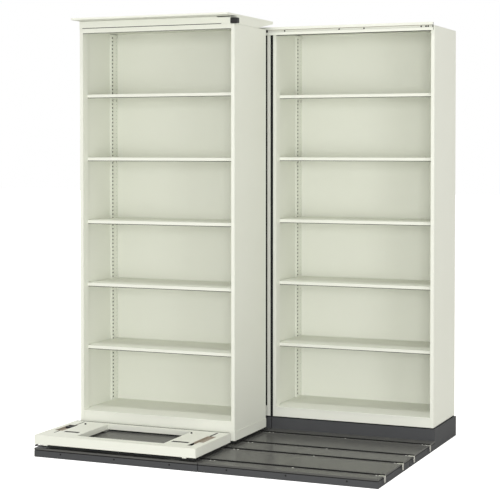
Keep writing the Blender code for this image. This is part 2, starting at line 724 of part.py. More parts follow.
def build_header(parent):
    """Header frame, top plate and bumper on the middle cabinet."""
    level = HEADER_LEVEL - parent.location.z
    section = [
        (0, 0),
        (HEADER_DEPTH - HEADER_TAPER, 0),
        (HEADER_DEPTH, HEADER_HEIGHT - HEADER_TIP_HEIGHT),
        (HEADER_DEPTH, HEADER_HEIGHT),
        (0, HEADER_HEIGHT),
    ]
    shape = prism(section, "X", CARRIAGE_WIDTH)
    header = make_object("header_frame", shape, (0, 0, level), parent, "cream_steel")
    bumper_width = BUMPER_LENGTH - BUMPER_REACH
    bumper_start = CARRIAGE_WIDTH - bumper_width
    bumper_height = HEADER_HEIGHT - BUMPER_LIFT - BUMPER_DROP
    bumper_rear = BUMPER_DEPTH - BUMPER_PROUD + SEAT_GAP
    inner_right = CARRIAGE_WIDTH - HEADER_SHEET
    corner_left = bumper_start - SEAT_GAP - HEADER_SHEET
    corner_rear = bumper_rear + HEADER_SHEET
    hollow_plan = [
        (HEADER_SHEET, HEADER_SHEET),
        (corner_left, HEADER_SHEET),
        (corner_left, corner_rear),
        (inner_right, corner_rear),
        (inner_right, HEADER_DEPTH + CUT_OVERRUN),
        (HEADER_SHEET, HEADER_DEPTH + CUT_OVERRUN),
    ]
    hollow_height = HEADER_HEIGHT + 2 * CUT_OVERRUN
    hollow = prism(hollow_plan, "Z", hollow_height)
    hollow_place = (0, 0, level - CUT_OVERRUN)
    combine(header, make_tool("header_hollow", hollow, hollow_place, parent), "DIFFERENCE")
    notch = block(bumper_width + SEAT_GAP + CUT_OVERRUN, bumper_rear + CUT_OVERRUN, hollow_height)
    notch_place = (bumper_start - SEAT_GAP, -CUT_OVERRUN, level - CUT_OVERRUN)
    combine(header, make_tool("header_corner_notch", notch, notch_place, parent), "DIFFERENCE")
    slot = block(HEADER_SLOT_LENGTH, 2 * CUT_OVERRUN, HEADER_SLOT_HEIGHT + CUT_OVERRUN)
    slot_start = bumper_start - HEADER_SLOT_GAP - HEADER_SLOT_LENGTH
    slot_place = (slot_start, -CUT_OVERRUN, level + HEADER_HEIGHT - HEADER_SLOT_HEIGHT)
    combine(header, make_tool("header_front_slot", slot, slot_place, parent), "DIFFERENCE")

    bumper = make_object(
        "rubber_bumper",
        block(BUMPER_LENGTH, BUMPER_DEPTH, bumper_height),
        (bumper_start, -BUMPER_PROUD, level + BUMPER_LIFT),
        parent,
        "black_rubber",
    )
    rounding = bumper.modifiers.new("rounded_edges", "BEVEL")
    rounding.width = BUMPER_EDGE
    rounding.segments = 2

    plate_depth = PLATE_FRONT_OVERHANG + HEADER_DEPTH
    plate = tray(rectangle(0, CARRIAGE_WIDTH, 0, plate_depth), "Z", PLATE_THICKNESS, SHEET, "low")
    plate_place = (0, -PLATE_FRONT_OVERHANG, PLATE_LEVEL - parent.location.z)
    make_object("top_plate", plate, plate_place, parent, "cream_steel")


def build_rollers(parent):
    """Two anti-tip rollers that hang from the top plate behind the guide rail."""
    level = CABINET_TOP + ROLLER_LIFT
    stud_top = PLATE_LEVEL + PLATE_THICKNESS - SHEET - SEAT_GAP - level
    profile = [
        (0, 0),
        (0, ROLLER_RADIUS - ROLLER_EDGE),
        (ROLLER_EDGE, ROLLER_RADIUS),
        (ROLLER_HEIGHT - ROLLER_EDGE, ROLLER_RADIUS),
        (ROLLER_HEIGHT, ROLLER_RADIUS - ROLLER_EDGE),
        (ROLLER_HEIGHT, ROLLER_STUD_RADIUS),
        (stud_top, ROLLER_STUD_RADIUS),
        (stud_top, 0),
    ]
    depth = BACK_Y + RUNNING_GAP + ROLLER_RADIUS
    for side, along in (("left", ROLLER_INSET), ("right", CARRIAGE_WIDTH - ROLLER_INSET)):
        place = (along, depth - parent.location.y, level - parent.location.z)
        roller = turned(profile, "Z")
        make_object("guide_roller_" + side, roller, place, parent, "roller_plastic", True)


def wheelset_profile(wheel_places):
    """Half section of an axle with a hub and a wheel at each place."""
    end = CABINET_DEPTH - SHEET - RUNNING_GAP
    start = SHEET + RUNNING_GAP
    half_wheel = WHEEL_WIDTH / 2
    half_hub = half_wheel + HUB_LENGTH
    points = [(start, 0), (start, AXLE_RADIUS)]
    for place in wheel_places:
        points += [
            (place - half_hub, AXLE_RADIUS),
            (place - half_hub, HUB_RADIUS),
            (place - half_wheel, HUB_RADIUS),
            (place - half_wheel, WHEEL_RADIUS - WHEEL_EDGE),
            (place - half_wheel + WHEEL_EDGE, WHEEL_RADIUS),
            (place + half_wheel - WHEEL_EDGE, WHEEL_RADIUS),
            (place + half_wheel, WHEEL_RADIUS - WHEEL_EDGE),
            (place + half_wheel, HUB_RADIUS),
            (place + half_hub, HUB_RADIUS),
            (place + half_hub, AXLE_RADIUS),
        ]
    points += [(end, AXLE_RADIUS), (end, 0)]
    return points


def build_wheelsets(row, first_rail, parent):
    """Two axles under a carriage, each with a wheel over both rails of the row."""
    places = (first_rail, first_rail + RAIL_SPACING)
    for side, along in (("left", AXLE_INSET), ("right", CARRIAGE_WIDTH - AXLE_INSET)):
        shape = turned(wheelset_profile(places), "Y")
        axle_place = (along, 0, AXLE_LEVEL - parent.location.z)
        make_object(row + "_wheelset_" + side, shape, axle_place, parent, "axle_steel", True)


def shaft_slot_plan(cover):
    """Plan of the slot over an axle: wide between the wheels, narrow towards both ends."""
    centre = AXLE_INSET - cover["slot_shift"]
    wide = cover["slot_width"] / 2
    front_half = cover["front_slit_width"] / 2
    rear_half = cover["rear_slit_width"] / 2
    start = cover["slot_front"]
    end = CABINET_DEPTH - cover["slot_rear"]
    front = start - cover["front_slit_length"]
    rear = end + cover["rear_slit_length"]
    return [
        (AXLE_INSET - front_half, front),
        (AXLE_INSET + front_half, front),
        (AXLE_INSET + front_half, start),
        (centre + wide, start),
        (centre + wide, end),
        (AXLE_INSET + rear_half, end),
        (AXLE_INSET + rear_half, rear),
        (AXLE_INSET - rear_half, rear),
        (AXLE_INSET - rear_half, end),
        (centre - wide, end),
        (centre - wide, start),
        (AXLE_INSET - front_half, start),
    ]


def build_cover(side, cover, top, parent):
    """Slotted cover plate on one end of the bare carriage."""
    name = "front_carriage_cover_" + side
    width = cover["width"]
    mirrored = side == "right"
    start = CARRIAGE_WIDTH - width if mirrored else 0
    level = top - COVER_THICKNESS
    depth = CABINET_DEPTH - SHEET - SEAT_GAP
    plate = block(width, depth, COVER_THICKNESS)
    piece = make_object(name, plate, (start, SHEET + SEAT_GAP, level), parent, "cream_steel")
    cross = rectangle(
        cover["cross_along"],
        width - cover["cross_margin"],
        cover["cross_front"],
        cover["cross_front"] + cover["cross_width"],
    )
    shaft = shaft_slot_plan(cover)
    hole_inset = width * cover["hole_share"]
    hole_along = start + hole_inset
    hole_place = CABINET_DEPTH - cover["hole_rear"]
    if mirrored:
        cross = mirrored_x(cross, width)
        shaft = mirrored_x(shaft, width)
        hole_along = start + width - hole_inset
    deep = COVER_THICKNESS + 2 * CUT_OVERRUN
    under = level - CUT_OVERRUN
    cuts = (
        ("shaft_slot", prism(shaft, "Z", deep), (start, 0, under)),
        ("cross_slot", prism(cross, "Z", deep), (start, 0, under)),
        ("hole", cylinder(COVER_HOLE_RADIUS, "Z", deep), (hole_along, hole_place, under)),
    )
    for label, shape, place in cuts:
        combine(piece, make_tool(name + "_" + label, shape, place, parent), "DIFFERENCE")


def strip_space_section():
    """Section of the empty space round and under the two strips of the bare carriage."""
    wall = SHEET
    below = -CUT_OVERRUN
    under = -CUT_OVERRUN / 2
    above = CARRIAGE_HEIGHT + CUT_OVERRUN
    ceiling = CARRIAGE_HEIGHT - wall
    rear_level = CARRIAGE_HEIGHT - REAR_STRIP_HEIGHT
    rear_start = CABINET_DEPTH - REAR_STRIP_WIDTH
    behind = CABINET_DEPTH + CUT_OVERRUN
    return [
        (wall, below),
        (wall, ceiling),
        (FRONT_STRIP_WIDTH - wall, ceiling),
        (FRONT_STRIP_WIDTH - wall, under),
        (FRONT_STRIP_WIDTH, under),
        (FRONT_STRIP_WIDTH, above),
        (rear_start, above),
        (rear_start, rear_level),
        (rear_start + wall, rear_level),
        (rear_start + wall, ceiling),
        (CABINET_DEPTH - wall, ceiling),
        (CABINET_DEPTH - wall, rear_level),
        (behind, rear_level),
        (behind, below),
    ]


def build_front_carriage(parent):
    """Bare carriage: a frame that is open in the middle, with a slotted cover on both ends."""
    level = CARRIAGE_LEVEL - parent.location.z
    top = level + CARRIAGE_HEIGHT
    seat = top - COVER_THICKNESS - SEAT_GAP
    frame_shape = block(CARRIAGE_WIDTH, CABINET_DEPTH, CARRIAGE_HEIGHT)
    frame = make_object("front_carriage_frame", frame_shape, (0, 0, level), parent, "cream_steel")

    left_width = LEFT_COVER["width"]
    right_width = RIGHT_COVER["width"]
    right_bay = CARRIAGE_WIDTH - right_width
    opening_start = left_width + SHEET
    opening_length = right_bay - SHEET - opening_start
    middle = prism(strip_space_section(), "X", opening_length)
    tool = make_tool("front_frame_opening", middle, (opening_start, 0, level), parent)
    combine(frame, tool, "DIFFERENCE")
    relief_height = CARRIAGE_HEIGHT - REAR_STRIP_HEIGHT + CUT_OVERRUN
    relief_y = FRONT_STRIP_WIDTH + SHEET / 2
    relief_depth = CABINET_DEPTH + CUT_OVERRUN - relief_y
    for side, start in (("left", left_width), ("right", right_bay - SHEET)):
        relief = block(3 * SHEET, relief_depth, relief_height)
        relief_place = (start - SHEET, relief_y, level - CUT_OVERRUN)
        tool = make_tool("front_frame_wall_relief_" + side, relief, relief_place, parent)
        combine(frame, tool, "DIFFERENCE")

    bay_depth = CABINET_DEPTH - 2 * SHEET
    through = CARRIAGE_HEIGHT + 2 * CUT_OVERRUN
    for side, start, width in (("left", SHEET, left_width), ("right", right_bay, right_width)):
        bay = block(width - SHEET, bay_depth, through)
        tool = make_tool("front_frame_bay_" + side, bay, (start, SHEET, level - CUT_OVERRUN), parent)
        combine(frame, tool, "DIFFERENCE")
    add_bearings("front", frame, top - SHEET / 2, parent)
    recess_height = COVER_THICKNESS + SEAT_GAP + CUT_OVERRUN
    starts = (("left", -CUT_OVERRUN, left_width), ("right", right_bay - SEAT_GAP, right_width))
    for side, start, width in starts:
        recess = block(width + SEAT_GAP + CUT_OVERRUN, CABINET_DEPTH + CUT_OVERRUN, recess_height)
        tool = make_tool("front_frame_recess_" + side, recess, (start, SHEET, seat), parent)
        combine(frame, tool, "DIFFERENCE")
    build_cover("left", LEFT_COVER, top, parent)
    build_cover("right", RIGHT_COVER, top, parent)


def main():
    """Build the whole object from its fixed and its moving assemblies."""
    clear_scene()
    root = make_empty("fixed_base", (0, 0, 0))
    build_base(root)
    build_decks(root)
    build_rails(root)
    build_plinths(root)
    build_cabinet("back_left", (LEFT + CABINET_SIDE_GAP, BACK_Y, CABINET_LEVEL), root, True)
    build_cabinet("back_right", (CABINET_SIDE_GAP, BACK_Y, CABINET_LEVEL), root, False)
    build_guide_rail(root)

    middle_row = make_empty("middle_row", (MIDDLE_LEFT, MIDDLE_Y, AXLE_LEVEL), root)
    build_middle_carriage(middle_row)
    cabinet_place = (CARRIAGE_MARGIN, 0, CABINET_LEVEL - AXLE_LEVEL)
    build_cabinet("middle", cabinet_place, middle_row, False)
    build_header(middle_row)
    build_rollers(middle_row)
    build_wheelsets("middle", MIDDLE_RAIL_START, middle_row)

    front_row = make_empty("front_row", (FRONT_LEFT, FRONT, AXLE_LEVEL), root)
    build_front_carriage(front_row)
    build_wheelsets("front", FRONT_RAIL_START, front_row)


main()
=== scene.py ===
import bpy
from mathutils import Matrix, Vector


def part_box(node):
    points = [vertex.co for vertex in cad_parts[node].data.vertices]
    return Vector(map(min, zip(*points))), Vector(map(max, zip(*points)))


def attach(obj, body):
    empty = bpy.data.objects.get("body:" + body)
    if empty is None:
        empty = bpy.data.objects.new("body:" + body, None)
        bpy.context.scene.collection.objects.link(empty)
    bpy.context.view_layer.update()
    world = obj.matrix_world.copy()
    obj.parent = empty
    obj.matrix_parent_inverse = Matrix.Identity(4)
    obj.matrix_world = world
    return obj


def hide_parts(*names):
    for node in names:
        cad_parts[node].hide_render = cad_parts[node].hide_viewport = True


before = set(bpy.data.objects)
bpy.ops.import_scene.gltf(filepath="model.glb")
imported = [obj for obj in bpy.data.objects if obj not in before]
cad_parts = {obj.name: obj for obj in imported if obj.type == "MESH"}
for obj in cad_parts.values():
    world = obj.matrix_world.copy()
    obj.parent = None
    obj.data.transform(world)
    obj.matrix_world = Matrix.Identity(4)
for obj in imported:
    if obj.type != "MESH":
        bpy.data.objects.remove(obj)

"""Looks of the compact mobile shelving: finishes, fasteners, studio and camera.

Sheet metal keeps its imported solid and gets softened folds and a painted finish. Pieces whose
detail the solids leave out are built here. Lengths are in metres.
"""

import logging
from dataclasses import dataclass, replace
from enum import Enum
from functools import cache
from math import cos, pi, radians, sin
from typing import Any

import bmesh
import bpy
from mathutils import Matrix, Vector

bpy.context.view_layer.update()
LOG = logging.getLogger("shelving")
MM = 0.001  # a millimetre in metres
HAIR = 0.0001  # keeps faces of pieces that touch out of one plane
FORWARD, REARWARD, UPWARD = (0, -1, 0), (0, 1, 0), (0, 0, 1)

Point = tuple[float, float]
Place = tuple[float, float, float]
Span = tuple[float, float, float, float]
Flat = list[Point]
Box = tuple[Place, Place]
Run = tuple[Flat, str, float, float]
Row = tuple[float, ...]
Shape = bmesh.types.BMesh
Ring = list[bmesh.types.BMVert]
Piece = bpy.types.Object
Tree = bpy.types.NodeTree
Values = dict[str | int, Any]
SIDES = ("left", "right")


class Body(Enum):
    """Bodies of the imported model, apart from the wheelsets and rollers."""

    BASE = "fixed_base"
    MIDDLE = "middle_row"
    FRONT = "front_row"


class Slot(Enum):
    """Material slots of the record."""

    CREAM = "cream_steel"
    PANEL = "dark_panel"
    DECK = "dark_deck"
    RAIL = "rail_steel"
    AXLE = "axle_steel"
    ROLLER = "roller_plastic"
    RUBBER = "black_rubber"


# Colour and node helpers


def linear(code: str) -> Span:
    """Turn six sRGB hex digits into linear RGBA."""
    parts = [int(code[start:start + 2], 16) / 255 for start in (0, 2, 4)]
    return (*(x / 12.92 if x <= 0.04045 else ((x + 0.055) / 1.055) ** 2.4 for x in parts), 1.0)


def add_node(
    tree: Tree, kind: str, settings: Values | None = None, links: Values | None = None
) -> bpy.types.Node:
    """Add a node, give it its settings and link its inputs.

    Args:
        tree: The node tree that it goes into.
        kind: Blender's type name without its ShaderNode part.
        settings: Values by the name of a property, or the name or number of an input.
        links: Output sockets by the name or number of the input that they feed.

    Returns:
        The new node.
    """
    node = tree.nodes.new("ShaderNode" + kind)
    for key, value in (settings or {}).items():
        if isinstance(key, str) and hasattr(node, key):
            setattr(node, key, value)
        else:
            node.inputs[key].default_value = value
    for key, socket in (links or {}).items():
        tree.links.new(socket, node.inputs[key])
    return node


# Finishes


@dataclass(frozen=True)
class Pattern:
    """One noise pattern of a finish; sizes and relief are real lengths."""

    size: float
    cloud_size: float = 0.4
    stretch: Place = (1.0, 1.0, 1.0)
    detail: float = 3.0
    tint_share: float = 0.3
    gloss_change: float = 0.04
    relief: float = 0.00005
    relief_strength: float = 0.3


@dataclass(frozen=True)
class Finish:
    """What every finish has: its name, slot of the record, colours, gloss and pattern."""

    name: str
    slot: Slot
    colour: str
    dark: str
    light: str
    roughness: float
    metallic: float = 0.0
    specular: float = 0.5
    pattern: Pattern = Pattern(MM)

    @cache
    def material(self) -> bpy.types.Material:
        """Make the material, whose colour, roughness and bump follow its pattern.

        Returns:
            The material, made on the first call only.
        """
        material = bpy.data.materials.new(self.name)
        material.use_nodes = True
        material.diffuse_color = linear(self.colour)
        tree, pattern = material.node_tree, self.pattern
        place = add_node(tree, "TexCoord").outputs["Object"]
        stretch = add_node(tree, "Mapping", {"Scale": pattern.stretch}, {"Vector": place})
        noise = add_node(
            tree, "TexNoise",
            {"Scale": 1 / pattern.size, "Detail": pattern.detail, "Roughness": 0.6},
            {"Vector": stretch.outputs[0]},
        ).outputs["Fac"]
        clouds = add_node(
            tree, "TexNoise", {"Scale": 1 / pattern.cloud_size, "Detail": 2.0}, {"Vector": place}
        ).outputs["Fac"]
        share = add_node(tree, "Mix", {0: pattern.tint_share}, {2: clouds, 3: noise})
        tint = add_node(
            tree, "Mix", {"data_type": "RGBA", 6: linear(self.dark), 7: linear(self.light)},
            {0: share.outputs[0]},
        )
        gloss = add_node(tree, "MapRange", {
            "From Min": 0.3, "To Min": self.roughness - pattern.gloss_change,
            "From Max": 0.7, "To Max": self.roughness + pattern.gloss_change,
        }, {"Value": noise})
        bump = add_node(
            tree, "Bump", {"Strength": pattern.relief_strength, "Distance": pattern.relief},
            {"Height": noise},
        )
        inputs = tree.nodes["Principled BSDF"].inputs
        for socket, value in (
            ("Base Color", linear(self.colour)), ("Roughness", self.roughness),
            ("Metallic", self.metallic), ("Specular IOR Level", self.specular),
        ):
            inputs[socket].default_value = value
        for socket, output in (
            ("Base Color", tint.outputs[2]), ("Roughness", gloss.outputs[0]),
            ("Normal", bump.outputs[0]),
        ):
            tree.links.new(output, inputs[socket])
        return material


@dataclass(frozen=True)
class BakedPaint(Finish):
    """Powder coat baked on steel: an even colour with a fine orange-peel skin and a soft sheen."""

    specular: float = 0.10
    # Orange peel of about 1 mm is drawn coarser, so that it shows.
    pattern: Pattern = Pattern(4 * MM)


@dataclass(frozen=True)
class FloorLaminate(Finish):
    """High-pressure laminate on board: dark grey, and it dimly mirrors what stands on it."""

    specular: float = 0.06
    # Streaks of about 1 mm along the board are drawn coarser, so that they show.
    pattern: Pattern = Pattern(5 * MM, 0.25, (0.05, 1.0, 1.0), 4.0, 0.3, 0.015, 0.00002, 0.1)


@dataclass(frozen=True)
class DrawnMetal(Finish):
    """Rolled, turned or plated metal: bright, with hairlines along its length."""

    # Hairlines of about 0.1 mm are drawn coarser, so that they show.
    pattern: Pattern = Pattern(1.5 * MM, 0.1, (0.04, 1.0, 1.0), 4.0, 0.5, 0.06, 0.00002, 0.25)


@dataclass(frozen=True)
class MouldedPart(Finish):
    """Moulded rubber or plastic: matt, with a fine pitted skin from the mould."""

    # Pits of about 0.2 mm are drawn coarser, so that they show.
    pattern: Pattern = Pattern(1.2 * MM, 0.05, relief=0.00008)


SPECKS = replace(DrawnMetal.pattern, stretch=(1.0, 1.0, 1.0))
TURNED = replace(DrawnMetal.pattern, stretch=(1.0, 0.1, 1.0))

# Warm off-white sheet with a faint sheen.
CREAM = BakedPaint("powder_coated_steel_cream", Slot.CREAM, "EDEFE5", "EBEDE2", "EFF1E8", 0.46)
# Painted shade: flat brown-grey for sheet in recesses and slots that stands in shade.
SHADE_TAUPE = BakedPaint("taupe_painted_shade", Slot.CREAM, "B0A698", "A99F91", "B6AC9F", 0.60)
# Matt charcoal edges that hardly mirror.
PANEL = FloorLaminate(
    "satin_faced_board_charcoal", Slot.PANEL, "505153", "4C4D4F", "545557", 0.50
)
# Smoother charcoal with soft mirror images of the cabinets.
DECK = FloorLaminate("laminated_board_charcoal", Slot.DECK, "5E5E5C", "5C5C5A", "60605E", 0.22)
# Mill-dark steel: a dull band between the boards.
RAIL = DrawnMetal("rolled_steel_rail", Slot.RAIL, "5A5A58", "555553", "605F5D", 0.50, 0.2)
# Pale plating that glints on stops and rail screws.
NICKEL = DrawnMetal("nickel_plated_steel", Slot.RAIL, "D9D8D2", "CFCEC8", "E2E1DB", 0.24, 1.0)
# Bright grey plating with fine specks.
SCREW = DrawnMetal(
    "zinc_plated_steel", Slot.AXLE, "C9C9C4", "BDBDB8", "D6D6D1", 0.28, 1.0, pattern=SPECKS
)
# Near-black with a thin metal glint.
BLACK_SCREW = DrawnMetal(
    "black_oxide_steel", Slot.AXLE, "1E1E1E", "161616", "262626", 0.45, 0.6, pattern=SPECKS
)
# Mid-grey, with the lathe's rings round it.
AXLE = DrawnMetal(
    "turned_steel", Slot.AXLE, "8C8B88", "7E7D7A", "9B9A96", 0.32, 1.0, pattern=TURNED
)
# Black with a dull bloom.
RUBBER = MouldedPart("nitrile_rubber_black", Slot.RUBBER, "1D1D1E", "171718", "252526", 0.62)
# Warm grey, slightly waxy.
WHEEL = MouldedPart("cast_nylon_grey", Slot.AXLE, "5E5D59", "565551", "676661", 0.45)
# Milky white and smooth.
ROLLER = MouldedPart("acetal_white", Slot.ROLLER, "D8D8D2", "D2D2CC", "DEDED9", 0.40)
# Painted shade: dead black strips and sheets set in gaps, grooves, slots and under edges, where
# shade falls.
SHADE_BLACK = MouldedPart("black_painted_shade", Slot.RUBBER, "101010", "0C0C0C", "151515", 0.90)


# Mesh helpers


def staged(name: str, data: Any) -> Piece:
    """Add an object to the scene.

    Args:
        name: Its name.
        data: Its mesh, lamp or camera.

    Returns:
        The object.
    """
    added = bpy.data.objects.new(name, data)
    bpy.context.scene.collection.objects.link(added)
    return added


def new_piece(
    name: str, body: Body | str, finish: Finish, shape: Shape, smooth: bool = False
) -> Piece:
    """Turn a mesh into a piece that rides on a body.

    Args:
        name: The piece's name.
        body: The body that carries it.
        finish: Its finish.
        shape: Its mesh, in world metres; it is freed here.
        smooth: Whether its curved faces are shaded smooth.

    Returns:
        The piece.
    """
    bmesh.ops.remove_doubles(shape, verts=shape.verts, dist=1e-6)
    bmesh.ops.recalc_face_normals(shape, faces=shape.faces)
    mesh = bpy.data.meshes.new(name)
    shape.to_mesh(mesh)
    shape.free()
    if smooth:
        mesh.shade_smooth()
        mesh.set_sharp_from_angle(angle=radians(35))
    mesh.materials.append(finish.material())
    piece = staged(name, mesh)
    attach(piece, body.value if isinstance(body, Body) else body)
    return piece


def soften(piece: Piece, radius: float, carried_over: bool = False) -> None:
    """Round a piece's edges as folding and paint do.

    Args:
        piece: The object to soften.
        radius: Width of the rounding.
        carried_over: True for a CAD node, whose triangles are first joined into whole faces.
    """
    if carried_over:
        piece.modifiers.new("joined_faces", "WELD").merge_threshold = 0.00002
        flat = piece.modifiers.new("whole_faces", "DECIMATE")
        flat.decimate_type, flat.angle_limit = "DISSOLVE", radians(1.0)
    bevel = piece.modifiers.new("rounded_edges", "BEVEL")
    bevel.width, bevel.segments, bevel.angle_limit = radius, 2, radians(40)
    piece.modifiers.new("flat_faces", "WEIGHTED_NORMAL").weight = 60


def dress_node(name: str, finish: Finish, radius: float) -> None:
    """Give a carried-over CAD node its finish and softened edges.

    Args:
        name: The node's name.
        finish: Its finish.
        radius: Width of the rounding of its edges.
    """
    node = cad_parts[name]
    node.data.materials.clear()
    node.data.materials.append(finish.material())
    soften(node, radius, carried_over=True)


def bridge(shape: Shape, first: Ring, second: Ring) -> None:
    """Join two closed rings of corners with faces; a ring of one corner makes a fan.

    Args:
        shape: The mesh.
        first: One ring.
        second: The other ring.
    """
    for side in range(max(len(first), len(second))):
        turns = ((first, side), (first, side + 1), (second, side + 1), (second, side))
        shape.faces.new(list(dict.fromkeys(ring[index % len(ring)] for ring, index in turns)))


def extruded(name: str, body: Body, finish: Finish, *runs: Run) -> Piece:
    """Make a piece of outlines that are extruded along an axis.

    Args:
        name: The piece's name.
        body: The body that carries it.
        finish: Its finish.
        runs: Outline across the axis, axis, start and end of each; for Y an outline is (x, z).

    Returns:
        The piece.
    """
    shape = bmesh.new()
    for outline, axis, *ends in runs:
        order = {"X": (2, 0, 1), "Y": (0, 2, 1), "Z": (0, 1, 2)}[axis]
        first, second = (
            [shape.verts.new([(*point, along)[index] for index in order]) for point in outline]
            for along in ends
        )
        bridge(shape, first, second)
        shape.faces.new(first[::-1])
        shape.faces.new(second)
    return new_piece(name, body, finish, shape)


def boxed(name: str, body: Body, finish: Finish, *boxes: Box) -> Piece:
    """Make a piece of boxes.

    Args:
        name: The piece's name.
        body: The body that carries it.
        finish: Its finish.
        boxes: Lowest and highest corner of each.

    Returns:
        The piece.
    """
    return extruded(name, body, finish, *(
        ([(x, y), (far_x, y), (far_x, far_y), (x, far_y)], "Z", z, far_z)
        for (x, y, z), (far_x, far_y, far_z) in boxes
    ))


def turned(
    name: str, body: Body | str, finish: Finish, profile: Flat, placed: Matrix, sides: int = 32
) -> Piece:
    """Make a piece by spinning a profile round the Z axis of a matrix.

    Args:
        name: The piece's name.
        body: The body that carries it.
        finish: Its finish.
        profile: Points of (radius, height).
        placed: Where the solid stands and which way its axis points.
        sides: Number of sides.

    Returns:
        The piece.
    """
    shape = bmesh.new()
    previous: Ring = []
    for radius, height in profile:
        angles = [2 * pi * side / sides for side in range(sides if radius > 0 else 1)]
        ring = [
            shape.verts.new(placed @ Vector((radius * cos(angle), radius * sin(angle), height)))
            for angle in angles
        ]
        if previous:
            bridge(shape, previous, ring)
        previous = ring
    return new_piece(name, body, finish, shape, smooth=True)


def facing(place: Place, direction: Place, turn: float = 0.0) -> Matrix:
    """Return a matrix at a place, its Z axis in a direction, turned about it in degrees."""
    lift = Vector(direction).to_track_quat("Z", "Y").to_matrix().to_4x4()
    return Matrix.Translation(place) @ lift @ Matrix.Rotation(radians(turn), 4, "Z")


@dataclass(frozen=True)
class Fastener:
    """A screw head with a cross recess, set on a face that looks in a direction."""

    radius: float
    height: float
    recess_depth: float
    finish: Finish
    direction: Place
    sides: int = 24

    def row(self, name: str, body: Body, places: list[Place]) -> None:
        """Make one piece of several heads.

        Args:
            name: The piece's name.
            body: The body that carries it.
            places: Where they stand.
        """
        floor = self.height - self.recess_depth
        rings = ((0.20, 1.0), (0.42, 0.98), (0.62, 0.92), (0.84, 0.72), (1.0, 0.30), (1.0, -0.15))
        shape = bmesh.new()
        for count, place in enumerate(places):
            placed = facing(place, self.direction, 23.0 * count % 90)
            previous = [shape.verts.new(placed @ Vector((0, 0, floor)))]
            for number, (share, level) in enumerate(rings):
                ring = []
                for side in range(self.sides):
                    angle, radius = 2 * pi * side / self.sides, self.radius * share
                    height = self.height * level if number else floor
                    if number == 1 and side % (self.sides // 4) == 0:
                        height -= self.recess_depth * 0.9
                    corner = Vector((radius * cos(angle), radius * sin(angle), height))
                    ring.append(shape.verts.new(placed @ corner))
                bridge(shape, previous, ring)
                previous = ring
        new_piece(name, body, self.finish, shape, smooth=True)


# Floor base


@dataclass
class FloorBase:
    """Four base panels, two deck boards, the front edge's screws and painted shadow under the
    boards.
    """

    edge: float = 0.0008
    edge_screw: Fastener = Fastener(0.0046, 0.0001, 0.00005, BLACK_SCREW, FORWARD)
    edge_screws: Row = (-0.75, -0.45, -0.15, 0.15, 0.45, 0.75)
    edge_screw_level: float = 0.0225
    groove: Point = (0.0317, 0.0357)
    groove_depth: float = 0.004
    shade_inset: float = 0.0012

    def build(self) -> None:
        """Finish the panels and boards, set the screws and lay the black painted shadow in the
        groove.
        """
        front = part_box("base_panel_front_left")[0].y
        self.edge_screw.row("base_edge_screws", Body.BASE, [
            (x, front, self.edge_screw_level) for x in self.edge_screws
        ])
        boxes = []
        low, high = self.groove
        edge, depth = self.shade_inset, self.groove_depth - HAIR
        for side in SIDES:
            dress_node(f"deck_{side}", DECK, self.edge)
            for row in ("front", "middle"):
                panel = f"base_panel_{row}_{side}"
                dress_node(panel, PANEL, self.edge)
                corner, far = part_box(panel)
                start, inner = corner.y + edge, corner.y + depth
                if row == "front":
                    boxes.append(((corner.x + edge, start, low), (far.x - edge, inner, high)))
                end, sign = (corner.x, 1) if side == "left" else (far.x, -1)
                xs = sorted((end + sign * edge, end + sign * depth))
                boxes.append(((xs[0], inner, low), (xs[1], far.y - self.groove_depth, high)))
        # The groove's shadow line is painted: black strips fill it.
        boxed("base_groove_painted_shade", Body.BASE, SHADE_BLACK, *boxes)


